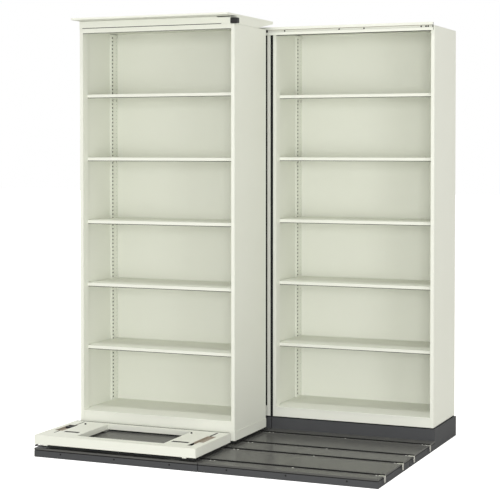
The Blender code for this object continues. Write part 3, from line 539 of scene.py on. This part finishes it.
@dataclass
class Rail:
    """One floor rail: a rounded channel, a plated stop over each end and its screws."""

    number: int
    sheet: float = 0.0016
    slot: float = 0.026
    depth: float = 0.007
    near_flange: float = 0.020
    far_flange: float = 0.008
    edge: float = 0.0006
    stop_sheet: float = 0.002
    stop_reach: float = 0.011
    stop_overlap: float = 0.021
    stop_drop: float = 0.030
    stop_width: float = 0.019
    stop_edge: float = 0.0007
    shade_wall: float = 0.0035
    lip_rise: float = 0.0014
    screw: Fastener = Fastener(0.0046, 0.0022, 0.0009, NICKEL, UPWARD)
    screw_line: float = 0.020
    screws: Row = (-0.868, -0.458, -0.057, -0.035, 0.035, 0.057, 0.458, 0.868)

    def build(self) -> None:
        """Build the channel, its black strips of painted shade in the slot, the two stops and the
        screws.
        """
        name = f"rail_{self.number}"
        low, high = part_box(name)
        half, sheet = self.slot / 2, self.sheet
        centre = low.y + self.near_flange + half
        near_wall, far_wall = centre - half, centre + half
        near, far = near_wall - self.near_flange, far_wall + self.far_flange
        top = high.z - self.stop_sheet
        bottom = top - self.depth
        under, floor = top - sheet, bottom + sheet
        left, right = low.x + self.stop_reach, high.x - self.stop_reach
        outline = [
            (near, top), (near_wall, top), (near_wall, floor), (far_wall, floor), (far_wall, top),
            (far, top), (far, under), (far_wall + sheet, under), (far_wall + sheet, bottom),
            (near_wall - sheet, bottom), (near_wall - sheet, under), (near, under),
        ]
        channel = extruded(f"{name}_channel", Body.BASE, RAIL, (outline, "X", left, right))
        soften(channel, self.edge)
        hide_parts(name)
        # Black strips against the slot's walls paint the shade deep in the channel.
        shade_walls = []
        for side, lip in ((-1, top - HAIR), (1, top + self.lip_rise)):
            walls = sorted((centre + side * (half - HAIR), centre + side * (half - self.shade_wall)))
            start, end = left + MM, right - MM
            shade_walls.append(((start, walls[0], floor + HAIR), (end, walls[1], lip)))
        boxed(f"{name}_track_painted_shade", Body.BASE, SHADE_BLACK, *shade_walls)
        strip = near_wall - self.near_flange / 2
        half, roof = self.stop_width / 2, high.z
        for side, end, sign in (("left", left, -1), ("right", right, 1)):
            start, face = end - sign * self.stop_overlap, end + sign * self.stop_reach
            back, foot = face - sign * self.stop_sheet, roof - self.stop_drop
            outline = [
                (start, top + HAIR), (start, roof), (face, roof),
                (face, foot), (back, foot), (back, top + HAIR),
            ]
            run = (outline, "Y", strip - half, strip + half)
            soften(extruded(f"{name}_stop_{side}", Body.BASE, NICKEL, run), self.stop_edge)
        self.screw.row(f"{name}_screws", Body.BASE, [
            (x, centre - self.screw_line, top) for x in self.screws
        ])


@dataclass
class Plinths:
    """The two plinths under the fixed row, with black painted shade in the gap under the cabinets.
    """

    edge: float = 0.0008
    step: float = 0.014
    step_height: float = 0.006
    shade_inset: float = 0.009

    def build(self) -> None:
        """Finish both plinths and lay black strips of painted shade in their gaps."""
        boxes = []
        width = self.step - self.shade_inset - HAIR
        for side in SIDES:
            dress_node(f"plinth_{side}", PANEL, self.edge)
            low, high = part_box(f"plinth_{side}")
            floor, roof = high.z - self.step_height + HAIR, high.z - 2 * HAIR
            near, step = low.y + self.shade_inset, low.y + self.step - HAIR
            left, right = low.x + self.shade_inset, high.x - self.shade_inset
            boxes.append(((left, near, floor), (right, step, roof)))
            for start in (left, high.x - self.step + HAIR):
                boxes.append(((start, step, floor), (start + width, high.y - self.step, roof)))
        boxed("plinth_painted_shade", Body.BASE, SHADE_BLACK, *boxes)


# Cabinets


@dataclass(frozen=True)
class Upright:
    """A perforated upright that the shelves hang in, standing at the rear of a side panel.

    A row of holes is its line from the upright's front, then a hole's width and height.
    """

    sheet: float = 0.0009
    pitch: float = 0.020
    main_holes: Place = (0.0120, 0.0135, 0.0095)
    fine_holes: Place = (0.0555, 0.0045, 0.0045)
    rib: Point = (0.029, 0.041)
    rib_depth: float = 0.0015
    shade_backing_play: float = 0.0003
    shade_backing_sheet: float = 0.0008
    shade_backing_end: float = 0.002

    def build(self, node: str, body: Body, faces_right: bool) -> None:
        """Build one upright as a perforated channel with a black backing that paints the shade
        inside it.

        Args:
            node: The CAD node that it replaces.
            body: The body that carries it.
            faces_right: Whether its perforated web faces +X.
        """
        low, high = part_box(node)
        web, back, inward = (high.x, low.x, -1) if faces_right else (low.x, high.x, 1)
        count = int((high.z - low.z) / self.pitch)
        start = (low.z + high.z - count * self.pitch) / 2
        levels = [start + index * self.pitch for index in range(count + 1)]
        rib_start, rib_end = (low.y + edge for edge in self.rib)
        sunk = web + inward * self.rib_depth
        strips = ((low.y, rib_start, self.main_holes), (rib_end, high.y, self.fine_holes))
        turns = [radians(225 + 45 * index) for index in range(8)]
        shape = bmesh.new()
        for start, end in zip(levels, levels[1:]):
            self.add_sheet(shape, (sunk, rib_start), (sunk, rib_end), start, end)
            for near, far, (line, wide, tall) in strips:
                line, middle = low.y + line, (start + end) / 2
                rim = [
                    (near, start), (line, start), (far, start), (far, middle),
                    (far, end), (line, end), (near, end), (near, middle),
                ]
                hole = [
                    (line + wide / 2 * cos(turn), middle + tall / 2 * sin(turn)) for turn in turns
                ]
                rings = [[shape.verts.new((web, *point)) for point in ring] for ring in (rim, hole)]
                bridge(shape, *rings)
        walls = [(sunk, rib_start), (sunk, rib_end), (back, low.y), (back, high.y)]
        for x, y in walls:
            self.add_sheet(shape, (web, y), (x, y), levels[0], levels[-1])
        for ends in ((low.z, levels[0]), (levels[-1], high.z)):
            for x, y in walls[2:]:
                self.add_sheet(shape, (web, y), (x, y), *ends)
            self.add_sheet(shape, (web, low.y), (web, high.y), *ends)
        upright = new_piece(f"{node}_perforated", body, CREAM, shape)
        skin = upright.modifiers.new("sheet", "SOLIDIFY")
        skin.thickness, skin.offset = self.sheet, -1.0
        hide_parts(node)
        # A black sheet behind the holes paints the shade inside the channel.
        near = self.rib_depth + self.sheet + self.shade_backing_play
        xs = sorted((web + inward * near, web + inward * (near + self.shade_backing_sheet)))
        side, end = self.sheet + 0.0004, self.shade_backing_end
        boxed(f"{node}_perforated_painted_shade", body, SHADE_BLACK, (
            (xs[0], low.y + side, low.z + end), (xs[1], high.y - side, high.z - end)
        ))

    def add_sheet(self, shape: Shape, first: Point, last: Point, low: float, high: float) -> None:
        """Add a plain rectangle that stands between two points of the plan."""
        corners = ((*first, low), (*last, low), (*last, high), (*first, high))
        shape.faces.new([shape.verts.new(corner) for corner in corners])


@dataclass
class Cabinet:
    """One cabinet: folded sheet panels, perforated uprights, shelves on clips and rear screws."""

    name: str
    body: Body
    own_uprights: bool = True
    shade_height: float = 0.0024
    edge: float = 0.0007
    shelves: int = 5
    upright_end: float = 0.0128
    upright_depth: float = 0.0705
    shelf_setback: float = 0.046
    sheet: float = 0.002
    post_width: float = 0.019
    post_depth: float = 0.0545
    clip_web: float = 0.0124
    clip_lines: Point = (0.0545, 0.0145)
    clip_width: float = 0.012
    clip_reach: float = 0.0075
    clip_drop: float = 0.013
    clip_sheet: float = 0.0012
    rail_height: float = 0.0235
    rail_shade_setback: float = 0.0004
    lip_shade: float = 0.0026
    lip_shade_setback: float = 0.0006
    shade_sheet: float = 0.0015
    screw: Fastener = Fastener(0.0045, 0.002, 0.001, SCREW, REARWARD)
    rear_screws: int = 6
    rear_screw_line: float = 0.030
    rear_screw_end: float = 0.08

    def build(self) -> None:
        """Dress the panels and add what the solids leave out."""
        for part in ("back", "bottom", "top", "side_left", "side_right"):
            dress_node(f"{self.name}_{part}", CREAM, self.edge)
        for number in range(1, self.shelves + 1):
            self.build_shelf(f"{self.name}_shelf_{number}")
        if self.own_uprights:
            for side in SIDES:
                Upright().build(f"{self.name}_upright_{side}", self.body, side == "left")
        self.add_clips()
        self.add_rear_screws()
        self.add_painted_shadows()

    def build_shelf(self, node: str) -> None:
        """Build one shelf as a folded tray whose front lip stands back between the posts.

        Args:
            node: The CAD node that it replaces.
        """
        low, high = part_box(node)
        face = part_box(f"{self.name}_side_left")[0]
        front, post_end = face.y + self.shelf_setback, face.y + self.post_depth
        post = face.x + self.post_width
        upright, upright_start = face.x + self.upright_end, high.y - self.upright_depth
        turns = (
            (post, front, 1), (post, post_end, 1), (low.x, post_end, 1),
            (low.x, upright_start, -1), (upright, upright_start, -1), (upright, high.y, -1),
        )
        outer, inner = [], []
        for plan, sheet in ((outer, 0.0), (inner, self.sheet)):
            left = [(x + sheet, y + way * sheet) for x, y, way in turns]
            plan += [(low.x + high.x - x, y) for x, y in left] + left[::-1]
        levels = ((outer, high.z), (outer, low.z), (inner, low.z), (inner, high.z - self.sheet))
        shape = bmesh.new()
        rings = [[shape.verts.new((x, y, z)) for x, y in plan] for plan, z in levels]
        for upper, lower in zip(rings, rings[1:]):
            bridge(shape, upper, lower)
        shape.faces.new(rings[0])
        shape.faces.new(rings[3][::-1])
        shelf = new_piece(f"{node}_tray", self.body, CREAM, shape)
        soften(shelf, self.edge)
        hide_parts(node)

    def add_clips(self) -> None:
        """Hang a bent clip in the uprights under both ends of each shelf."""
        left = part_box(f"{self.name}_side_left")[0].x + self.clip_web
        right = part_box(f"{self.name}_side_right")[1].x - self.clip_web
        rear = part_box(f"{self.name}_back")[0].y
        half = self.clip_width / 2
        runs = []
        for number in range(1, self.shelves + 1):
            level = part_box(f"{self.name}_shelf_{number}")[0].z
            foot, seat, under = level - self.clip_drop, level - HAIR, level - HAIR - self.clip_sheet
            for x, sign in ((left, 1), (right, -1)):
                bend, end = x + sign * self.clip_sheet, x + sign * self.clip_reach
                outline = [
                    (x, foot), (bend, foot), (bend, under), (end, under), (end, seat), (x, seat)
                ]
                for line in self.clip_lines:
                    runs.append((outline, "Y", rear - line - half, rear - line + half))
        soften(extruded(f"{self.name}_shelf_clips", self.body, SCREW, *runs), 0.0003)

    def add_painted_shadows(self) -> None:
        """Paint shadow with thin black strips between the posts, under the top rail and every
        shelf's lip.
        """
        low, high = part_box(f"{self.name}_top")
        near, top = low.y + self.rail_shade_setback, high.z - self.rail_height - HAIR
        boxed(f"{self.name}_rail_painted_shadow", self.body, SHADE_BLACK, (
            (low.x + self.post_width, near, top - self.shade_height),
            (high.x - self.post_width, near + self.shade_sheet, top),
        ))
        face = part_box(f"{self.name}_side_left")[0].y
        near = face + self.shelf_setback + self.lip_shade_setback
        boxes = []
        for number in range(1, self.shelves + 1):
            low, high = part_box(f"{self.name}_shelf_{number}")
            boxes.append((
                (low.x + self.post_width, near, low.z - HAIR - self.lip_shade),
                (high.x - self.post_width, near + self.shade_sheet, low.z - HAIR),
            ))
        boxed(f"{self.name}_lip_painted_shadows", self.body, SHADE_BLACK, *boxes)

    def add_rear_screws(self) -> None:
        """Set a row of screws down both edges of the back panel."""
        low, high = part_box(f"{self.name}_back")
        start, end = low.z + self.rear_screw_end, high.z - self.rear_screw_end
        step = (end - start) / (self.rear_screws - 1)
        self.screw.row(f"{self.name}_rear_screws", self.body, [
            (x, low.y + self.sheet, start + number * step)
            for x in (low.x + self.rear_screw_line, high.x - self.rear_screw_line)
            for number in range(self.rear_screws)
        ])


@dataclass
class GuideRail:
    """Lipped guide rail along the top front of the fixed row, with screws, stop and end plugs."""

    sheet: float = 0.002
    slot: float = 0.0136
    edge: float = 0.0006
    play: float = 0.0002
    screw: Fastener = Fastener(0.0042, 0.0018, 0.001, BLACK_SCREW, FORWARD)
    screws: Row = (-0.833, -0.367, -0.0245, 0.075, 0.380, 0.516, 0.822, 0.8475, 0.8585)
    plug_length: float = 0.004
    plug_inset: float = 0.0022
    plug_edge: float = 0.0005
    stop_place: float = -0.024
    stop_length: float = 0.007
    slot_shade_drop: float = 0.0015
    strip_rise: float = 0.0045
    slot_shade_end: float = 0.006
    gap_width: float = 0.0155
    gap_inset: float = 0.005
    gap_depth: float = 0.004
    edge_shade: Point = (-0.034, -0.0245)
    edge_shade_foot: float = 0.055
    edge_shade_gap: float = 0.0008
    edge_shade_sheet: float = 0.0007

    def build(self) -> None:
        """Dress the rail, set screws, stop and plugs, and paint shade in its slot and in the gaps
        under it.
        """
        dress_node("guide_rail", CREAM, self.edge)
        low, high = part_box("guide_rail")
        level, back = (low.z + high.z) / 2, high.y - self.sheet
        self.screw.row("guide_rail_screws", Body.BASE, [
            (x, back, level) for x in self.screws
        ])
        gap, play = self.plug_inset, self.play
        soften(boxed("guide_rail_end_plugs", Body.BASE, RUBBER, *(
            (
                (start + play, low.y + gap, low.z + gap),
                (start + self.plug_length - play, high.y - gap, high.z - gap),
            )
            for start in (low.x, high.x - self.plug_length)
        )), self.plug_edge)
        reach, half = self.stop_length / 2, self.slot / 2 - play
        soften(boxed("guide_rail_stops", Body.BASE, RUBBER, (
            (self.stop_place - reach, low.y + self.edge, level - half),
            (self.stop_place + reach, high.y - gap, level + half),
        )), self.edge)
        # A taupe strip along the slot's rear wall paints the shade under the upper lip.
        back, lip = back - play, level + self.slot / 2
        boxed("guide_rail_painted_shade", Body.BASE, SHADE_TAUPE, (
            (low.x + self.slot_shade_end, back - MM, lip - self.slot_shade_drop),
            (high.x - self.slot_shade_end, back, lip + self.strip_rise),
        ))
        foot = low.z
        # A black strip in the gap between the fixed cabinets paints the shade deep in it.
        low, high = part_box("back_right_side_left")
        near, half = low.y + self.gap_inset, self.gap_width / 2
        boxed("cabinet_gap_painted_shade", Body.BASE, SHADE_BLACK, (
            (-half, near, low.z + MM), (half, near + self.gap_depth, high.z - MM)
        ))
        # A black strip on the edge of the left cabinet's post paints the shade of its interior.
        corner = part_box("back_left_side_right")[0]
        start, end = self.edge_shade
        near, top = corner.y - self.edge_shade_gap, foot - self.edge_shade_gap
        boxed("back_left_edge_painted_shade", Body.BASE, SHADE_BLACK, (
            (start, near, corner.z + self.edge_shade_foot), (end, near + self.edge_shade_sheet, top)
        ))


@dataclass
class Header:
    """Header frame, top plate, bumper and anti-tip rollers of the middle row."""

    edge: float = 0.0007
    bumper_edge: float = 0.0016
    liner_inset: float = 0.0024
    strip_rise: float = 0.0004
    liner_gap: float = 0.0006
    foot_shade: float = 0.0030
    foot_shade_start: float = 0.0185
    foot_shade_gap: float = 0.0004
    foot_shade_sheet: float = 0.0003
    shade_margin: float = 0.050
    # A roller's height, edge, groove and bore.
    roller: Span = (0.020, 0.0015, 0.0012, 0.0050)

    def build(self) -> None:
        """Dress the sheet, line the front overhang, paint the shade at the foot, rebuild bumper and
        rollers.
        """
        dress_node("header_frame", CREAM, self.edge)
        dress_node("top_plate", CREAM, self.edge)
        low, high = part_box("top_plate")
        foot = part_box("header_frame")[0]
        gap, level = self.liner_inset, low.z + self.strip_rise
        boxed("top_plate_liner", Body.MIDDLE, CREAM, (
            (low.x + gap, low.y + gap, level),
            (high.x - gap, foot.y - self.liner_gap, level + MM),
        ))
        low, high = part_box("rubber_bumper")
        # A black strip at the header's foot paints the shade of the seam under it.
        near = foot.y - self.foot_shade_gap
        boxed("header_foot_painted_shade", Body.MIDDLE, SHADE_BLACK, (
            (foot.x + self.foot_shade_start, near, foot.z),
            (low.x - self.shade_margin, near + self.foot_shade_sheet, foot.z + self.foot_shade),
        ))
        bumper = boxed("bumper_block", Body.MIDDLE, RUBBER, (low, high))
        soften(bumper, self.bumper_edge)
        bumper.modifiers["rounded_edges"].segments = 4
        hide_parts("rubber_bumper")
        for side in SIDES:
            self.build_roller(side)

    def build_roller(self, side: str) -> None:
        """Build one guide roller on its steel stud.

        Args:
            side: left or right.
        """
        node, body = f"guide_roller_{side}", f"roller_{side}"
        low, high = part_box(node)
        centre, radius = (low + high) / 2, (high.x - low.x) / 2
        placed = Matrix.Translation((centre.x, centre.y, low.z))
        height, edge, groove, bore = self.roller
        roller = turned(f"{node}_tyre", body, ROLLER, [
            (0.0, edge), (0.0042, edge), (bore, 0.0), (radius - edge, 0.0), (radius, edge),
            (radius, height / 2 - groove), (radius - 0.0008, height / 2),
            (radius, height / 2 + groove), (radius, height - edge), (radius - edge, height),
            (bore, height), (0.0, height),
        ], placed, 40)
        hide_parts(node)
        top = high.z - low.z
        turned(f"{node}_stud", body, AXLE, [
            (0.0, 0.0), (0.0030, 0.0), (0.0038, 0.0008), (0.0038, top - 0.006),
            (0.0062, top - 0.006), (0.0062, top - 0.0005), (0.0057, top), (0.0, top),
        ], placed, 24)


@dataclass
class Wheelset:
    """An axle with two wheels, each with a rounded tread and a recessed web."""

    row: str
    side: str
    rails: tuple[int, int]
    rail_line: float = 0.033
    axle: float = 0.006
    chamfer: float = 0.0008
    hub: float = 0.0125
    hub_half: float = 0.012
    web_half: float = 0.0035
    tread_half: float = 0.007
    tread_round: float = 0.0022

    def build(self) -> None:
        """Rebuild the axle and its wheels, each in its own finish."""
        node, body = f"{self.row}_wheelset_{self.side}", f"{self.row}_wheels_{self.side}"
        low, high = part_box(node)
        centre, length = (low + high) / 2, high.y - low.y
        placed = facing((centre.x, low.y, centre.z), REARWARD)
        axle, cut = self.axle, self.chamfer
        rod = turned(f"{node}_axle", body, AXLE, [
            (0, 0), (axle - cut, 0), (axle, cut), (axle, length - cut), (axle - cut, length),
            (0, length),
        ], placed)
        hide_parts(node)
        radius, edge, half = (high.z - low.z) / 2, self.tread_round, self.tread_half
        flank = [
            (axle, self.hub_half), (self.hub - 0.001, self.hub_half),
            (self.hub, self.hub_half - 0.001), (self.hub, self.web_half),
            (radius - 0.006, self.web_half), (radius - 0.005, half), (radius - edge, half),
            (radius - edge * 0.3, half - edge * 0.35), (radius, half - edge),
        ]
        for number in self.rails:
            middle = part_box(f"rail_{number}")[0].y + self.rail_line - low.y
            near = [(out, middle - along) for out, along in flank]
            far = [(out, middle + along) for out, along in flank[::-1]]
            turned(f"{node}_wheel_{number}", body, WHEEL, near + far, placed, 48)


@dataclass
class SlottedCover:
    """What lies in and under the cut-outs of one end cover of the bare carriage.

    Places are (start, end) from the carriage's outer end, then (start, end) from its front.
    """

    side: str
    inward: int
    pan: Span
    slits: tuple[Span, ...]
    blocks: tuple[Span, ...]
    plug: Point
    ledges: tuple[Span, ...] = ()
    sheet: float = 0.0012
    pan_depth: float = 0.011
    shade_drop: float = 0.0006
    shade_sink: float = 0.0003
    block_sink: float = 0.003
    block_edge: float = 0.0008
    plug_radius: float = 0.0046
    plug_height: float = 0.0065
    play: float = 0.0002

    def build(self) -> None:
        """Build the pan and the slits' black fill, both painted shade, then the rubber blocks and
        the plug.
        """
        name, sheet, play = f"front_cover_{self.side}", self.sheet, self.play
        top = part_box("front_carriage_frame")[1].z
        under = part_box(f"front_carriage_cover_{self.side}")[0].z
        base = under - self.pan_depth
        bottom = base + sheet + HAIR
        first, last, near, far = self.pan
        walls = (
            (first - sheet, first, near, far), (last, last + sheet, near, far),
            (first, last, far, far + sheet),
        )
        # The pan's taupe is painted shade for the walls under the cut-outs.
        boxed(
            f"{name}_pan", Body.FRONT, SHADE_TAUPE,
            *(self.plate(floor, base, base + sheet) for floor in (self.pan, *self.ledges)),
            *(self.plate(wall, bottom, under - HAIR) for wall in walls),
        )
        # Black blocks in the slits paint the shade of the carriage's inside.
        boxed(f"{name}_slit_painted_shade", Body.FRONT, SHADE_BLACK, *(
            self.plate(
                (start + play, end - play, front + play, rear - play),
                under - self.shade_drop, top - self.shade_sink,
            )
            for start, end, front, rear in self.slits
        ))
        soften(boxed(f"{name}_stop_blocks", Body.FRONT, RUBBER, *(
            self.plate((start + play, end - play, front, rear), bottom, top - self.block_sink)
            for start, end, front, rear in self.blocks
        )), self.block_edge)
        radius, height = self.plug_radius, self.plug_height
        along, deep = self.plug
        placed = Matrix.Translation(self.plate((along, along, deep, deep), top, top)[0])
        turned(f"{name}_plug", Body.FRONT, RUBBER, [
            (0.0, -0.003), (radius - 0.0004, -0.003), (radius, -0.0026), (radius, height - 0.0015),
            (radius - 0.0004, height - 0.0005), (radius - 0.0015, height), (0.0, height),
        ], placed, 24)

    def plate(self, place: Span, bottom: float, top: float) -> Box:
        """Return the corners of a box given by its place on the cover.

        Args:
            place: Its place.
            bottom: Its lower level.
            top: Its upper level.

        Returns:
            Its lowest and its highest corner.
        """
        low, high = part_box("front_carriage_frame")
        outer = low.x if self.side == "left" else high.x
        left, right = sorted(outer + self.inward * along for along in place[:2])
        return (left, low.y + place[2], bottom), (right, low.y + place[3], top)


LEFT_COVER = SlottedCover(
    "left", 1, pan=(0.027, 0.077, 0.146, 0.310),
    slits=(
        (0.058, 0.066, 0.088, 0.146), (0.058, 0.066, 0.310, 0.398), (0.096, 0.179, 0.1225, 0.1485)
    ),
    blocks=((0.027, 0.077, 0.294, 0.309), (0.027, 0.077, 0.262, 0.280)),
    plug=(0.1010, 0.339),
)
RIGHT_COVER = SlottedCover(
    "right", -1, pan=(0.027, 0.077, 0.148, 0.310),
    slits=((0.056, 0.068, 0.310, 0.395), (0.093, 0.183, 0.1095, 0.1355)),
    blocks=((0.0495, 0.0745, 0.0602, 0.078),),
    plug=(0.1781, 0.334),
    ledges=((0.0495, 0.0745, 0.104, 0.148),),
)


@dataclass
class Carriages:
    """The bare front carriage and the carriage under the middle cabinet."""

    edge: float = 0.0008
    cover_edge: float = 0.0004
    skirt_shade_height: float = 0.0055
    skirt_shade_sheet: float = 0.0008
    skirt_shade_inset: float = 0.0002
    rear_shade_height: float = 0.0065
    rear_shade_place: Point = (0.0265, 0.0261)
    rear_shade_end: float = 0.003
    edge_strip_height: float = 0.0014
    edge_strip_place: Point = (0.0020, 0.0005)
    edge_strip_end: float = 0.004
    sheet_depth: float = 0.0337
    sheet_play: float = 0.0026
    sheet_ends: Point = (0.0605, 0.0255)

    def build(self) -> None:
        """Dress the frames and covers and rebuild the wheelsets."""
        self.add_skirt("middle_carriage", Body.MIDDLE, "flrb")
        self.add_skirt("front_carriage_frame", Body.FRONT, "flr")
        self.add_opening()
        for cover in (LEFT_COVER, RIGHT_COVER):
            dress_node(f"front_carriage_cover_{cover.side}", CREAM, self.cover_edge)
            cover.build()
            Wheelset("front", cover.side, (1, 2)).build()
            Wheelset("middle", cover.side, (3, 4)).build()

    def add_opening(self) -> None:
        """Fill the bare carriage's opening: dark sheet, black painted shade under the rear strip
        and on the rear edge.
        """
        low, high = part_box("front_carriage_frame")
        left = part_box("front_carriage_cover_left")[1].x
        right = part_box("front_carriage_cover_right")[0].x
        near, top = high.y - self.rear_shade_place[0], high.z - self.rear_shade_place[1]
        boxed("front_rear_painted_shade", Body.FRONT, SHADE_BLACK, (
            (left + self.rear_shade_end, near, top - self.rear_shade_height),
            (right - self.rear_shade_end, near + self.skirt_shade_sheet, top),
        ))
        near, far = (high.y - inward for inward in self.edge_strip_place)
        boxed("front_rear_edge_painted_shadow", Body.FRONT, SHADE_BLACK, (
            (low.x + self.edge_strip_end, near, high.z + HAIR),
            (high.x - self.edge_strip_end, far, high.z + self.edge_strip_height),
        ))
        level, (near, far) = high.z - self.sheet_depth, self.sheet_ends
        soften(boxed("front_opening_sheet", Body.FRONT, DECK, (
            (left + self.sheet_play, low.y + near, level - MM),
            (right - self.sheet_play, high.y - far, level),
        )), 0.0003)

    def add_skirt(self, node: str, body: Body, sides: str) -> None:
        """Finish a carriage and hang a black strip of painted shade under its outer edges.

        Args:
            node: The carriage.
            body: The body that carries it.
            sides: First letters of the front, left, right and back sides that get one.
        """
        dress_node(node, CREAM, self.edge)
        low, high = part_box(node)
        top = low.z - HAIR
        start, end = self.skirt_shade_inset, self.skirt_shade_inset + self.skirt_shade_sheet
        left, right = low.x + MM, high.x - MM
        near, far = low.y + 2 * MM, high.y - 2 * MM
        spans = {
            "f": ((left, low.y + start), (right, low.y + end)),
            "b": ((left, high.y - end), (right, high.y - start)),
            "l": ((low.x + start, near), (low.x + end, far)),
            "r": ((high.x - end, near), (high.x - start, far)),
        }
        boxed(f"{node.split('_')[0]}_skirt_painted_shade", body, SHADE_BLACK, *(
            ((*spans[letter][0], top - self.skirt_shade_height), (*spans[letter][1], top))
            for letter in sides
        ))


# Studio


@dataclass
class Studio:
    """Pale floor, even world light, three soft lamps and the camera."""

    camera_place: Place = (2.92606, -6.95840, 1.54087)
    camera_pitch: float = -1.5
    camera_yaw: float = 22.915
    lens: float = 105.344
    shift_y: float = -0.1269
    world_light: float = 0.73
    world_tint: str = "FFFDF8"
    floor_lift: float = 0.90
    floor_level: float = -0.0005
    floor_size: float = 40.0

    def build(self) -> None:
        """Set up the camera, the light and the floor."""
        bpy.context.scene.view_settings.view_transform = "Standard"
        self.build_camera()
        self.build_world()
        self.build_floor()
        self.add_lamp("front_lamp", (4.3, -11.7, 1.6), (0.0, 0.0, 1.0), 4.0, 490.0)
        self.add_lamp("top_lamp", (0.3, -6.0, 18.5), (0.0, -0.2, 1.0), 1.0, 640.0)
        self.add_lamp("side_lamp", (5.6, -4.6, 0.35), (0.0, -0.3, 0.3), 1.6, 78.0)

    def build_camera(self) -> None:
        """Place the camera where the photograph was taken from."""
        camera = staged("camera", bpy.data.cameras.new("camera"))
        camera.location = self.camera_place
        camera.rotation_euler = (radians(90 + self.camera_pitch), 0, radians(self.camera_yaw))
        camera.data.sensor_width, camera.data.clip_end = 36, 200
        camera.data.lens, camera.data.shift_y = self.lens, self.shift_y
        bpy.context.scene.camera = camera

    def build_world(self) -> None:
        """Make even, faintly warm surroundings, plain white to the eye and in reflections."""
        world = bpy.data.worlds.new("studio")
        world.use_nodes = True
        tree = world.node_tree
        tree.nodes.clear()
        path = add_node(tree, "LightPath").outputs
        shown = path["Is Camera Ray"]
        for ray in ("Is Glossy Ray", "Is Transmission Ray"):
            shown = add_node(
                tree, "Math", {"operation": "MAXIMUM"}, {0: shown, 1: path[ray]}
            ).outputs[0]
        strength = add_node(
            tree, "MapRange", {"To Min": self.world_light, "To Max": 1.0}, {"Value": shown}
        )
        tint = add_node(
            tree, "Mix", {"data_type": "RGBA", 6: linear(self.world_tint), 7: linear("FFFFFF")},
            {0: shown},
        )
        light = add_node(
            tree, "Background", {}, {"Color": tint.outputs[2], "Strength": strength.outputs[0]}
        )
        add_node(tree, "OutputWorld", links={"Surface": light.outputs[0]})
        bpy.context.scene.world = world

    def build_floor(self) -> None:
        """Lay a wide pale floor that keeps the soft shadow."""
        shape = bmesh.new()
        bmesh.ops.create_grid(shape, x_segments=8, y_segments=8, size=self.floor_size)
        mesh = bpy.data.meshes.new("studio_floor")
        shape.to_mesh(mesh)
        shape.free()
        floor = staged("studio_floor", mesh)
        floor.location.z = self.floor_level
        material = bpy.data.materials.new("seamless_paper")
        material.use_nodes = True
        tree = material.node_tree
        tree.nodes.clear()
        seen = add_node(tree, "LightPath").outputs["Is Camera Ray"]
        paper = add_node(tree, "BsdfDiffuse", {"Color": linear("D6D6D4")})
        lift = add_node(tree, "Math", {"operation": "MULTIPLY", 1: self.floor_lift}, {0: seen})
        glow = add_node(tree, "Emission", {}, {"Strength": lift.outputs[0]})
        both = add_node(tree, "AddShader", {}, {0: paper.outputs[0], 1: glow.outputs[0]})
        add_node(tree, "OutputMaterial", links={"Surface": both.outputs[0]})
        mesh.materials.append(material)

    def add_lamp(self, name: str, place: Place, target: Place, size: float, power: float) -> None:
        """Add a square soft lamp that points at a place.

        Args:
            name: The lamp's name.
            place: Where it stands.
            target: What it points at.
            size: Length of its side.
            power: Its power in watts.
        """
        data = bpy.data.lights.new(name, "AREA")
        data.shape, data.size, data.energy = "SQUARE", size, power
        lamp = staged(name, data)
        lamp.location = place
        lamp.rotation_euler = (Vector(target) - Vector(place)).to_track_quat("-Z", "Y").to_euler()


def main() -> None:
    """Build every sub-assembly in order and report each one."""
    logging.basicConfig(level=logging.INFO, format="%(name)s: %(message)s")
    parts = [
        Studio(),
        FloorBase(),
        *(Rail(number) for number in range(1, 5)),
        Plinths(),
        Cabinet("back_left", Body.BASE, own_uprights=False, shade_height=0.0052),
        Cabinet("back_right", Body.BASE, shade_height=0.0052),
        Cabinet("middle", Body.MIDDLE),
        GuideRail(),
        Header(),
        Carriages(),
    ]
    for part in parts:
        part.build()
        LOG.info("built %s", part)


if __name__ == "__main__":
    main()
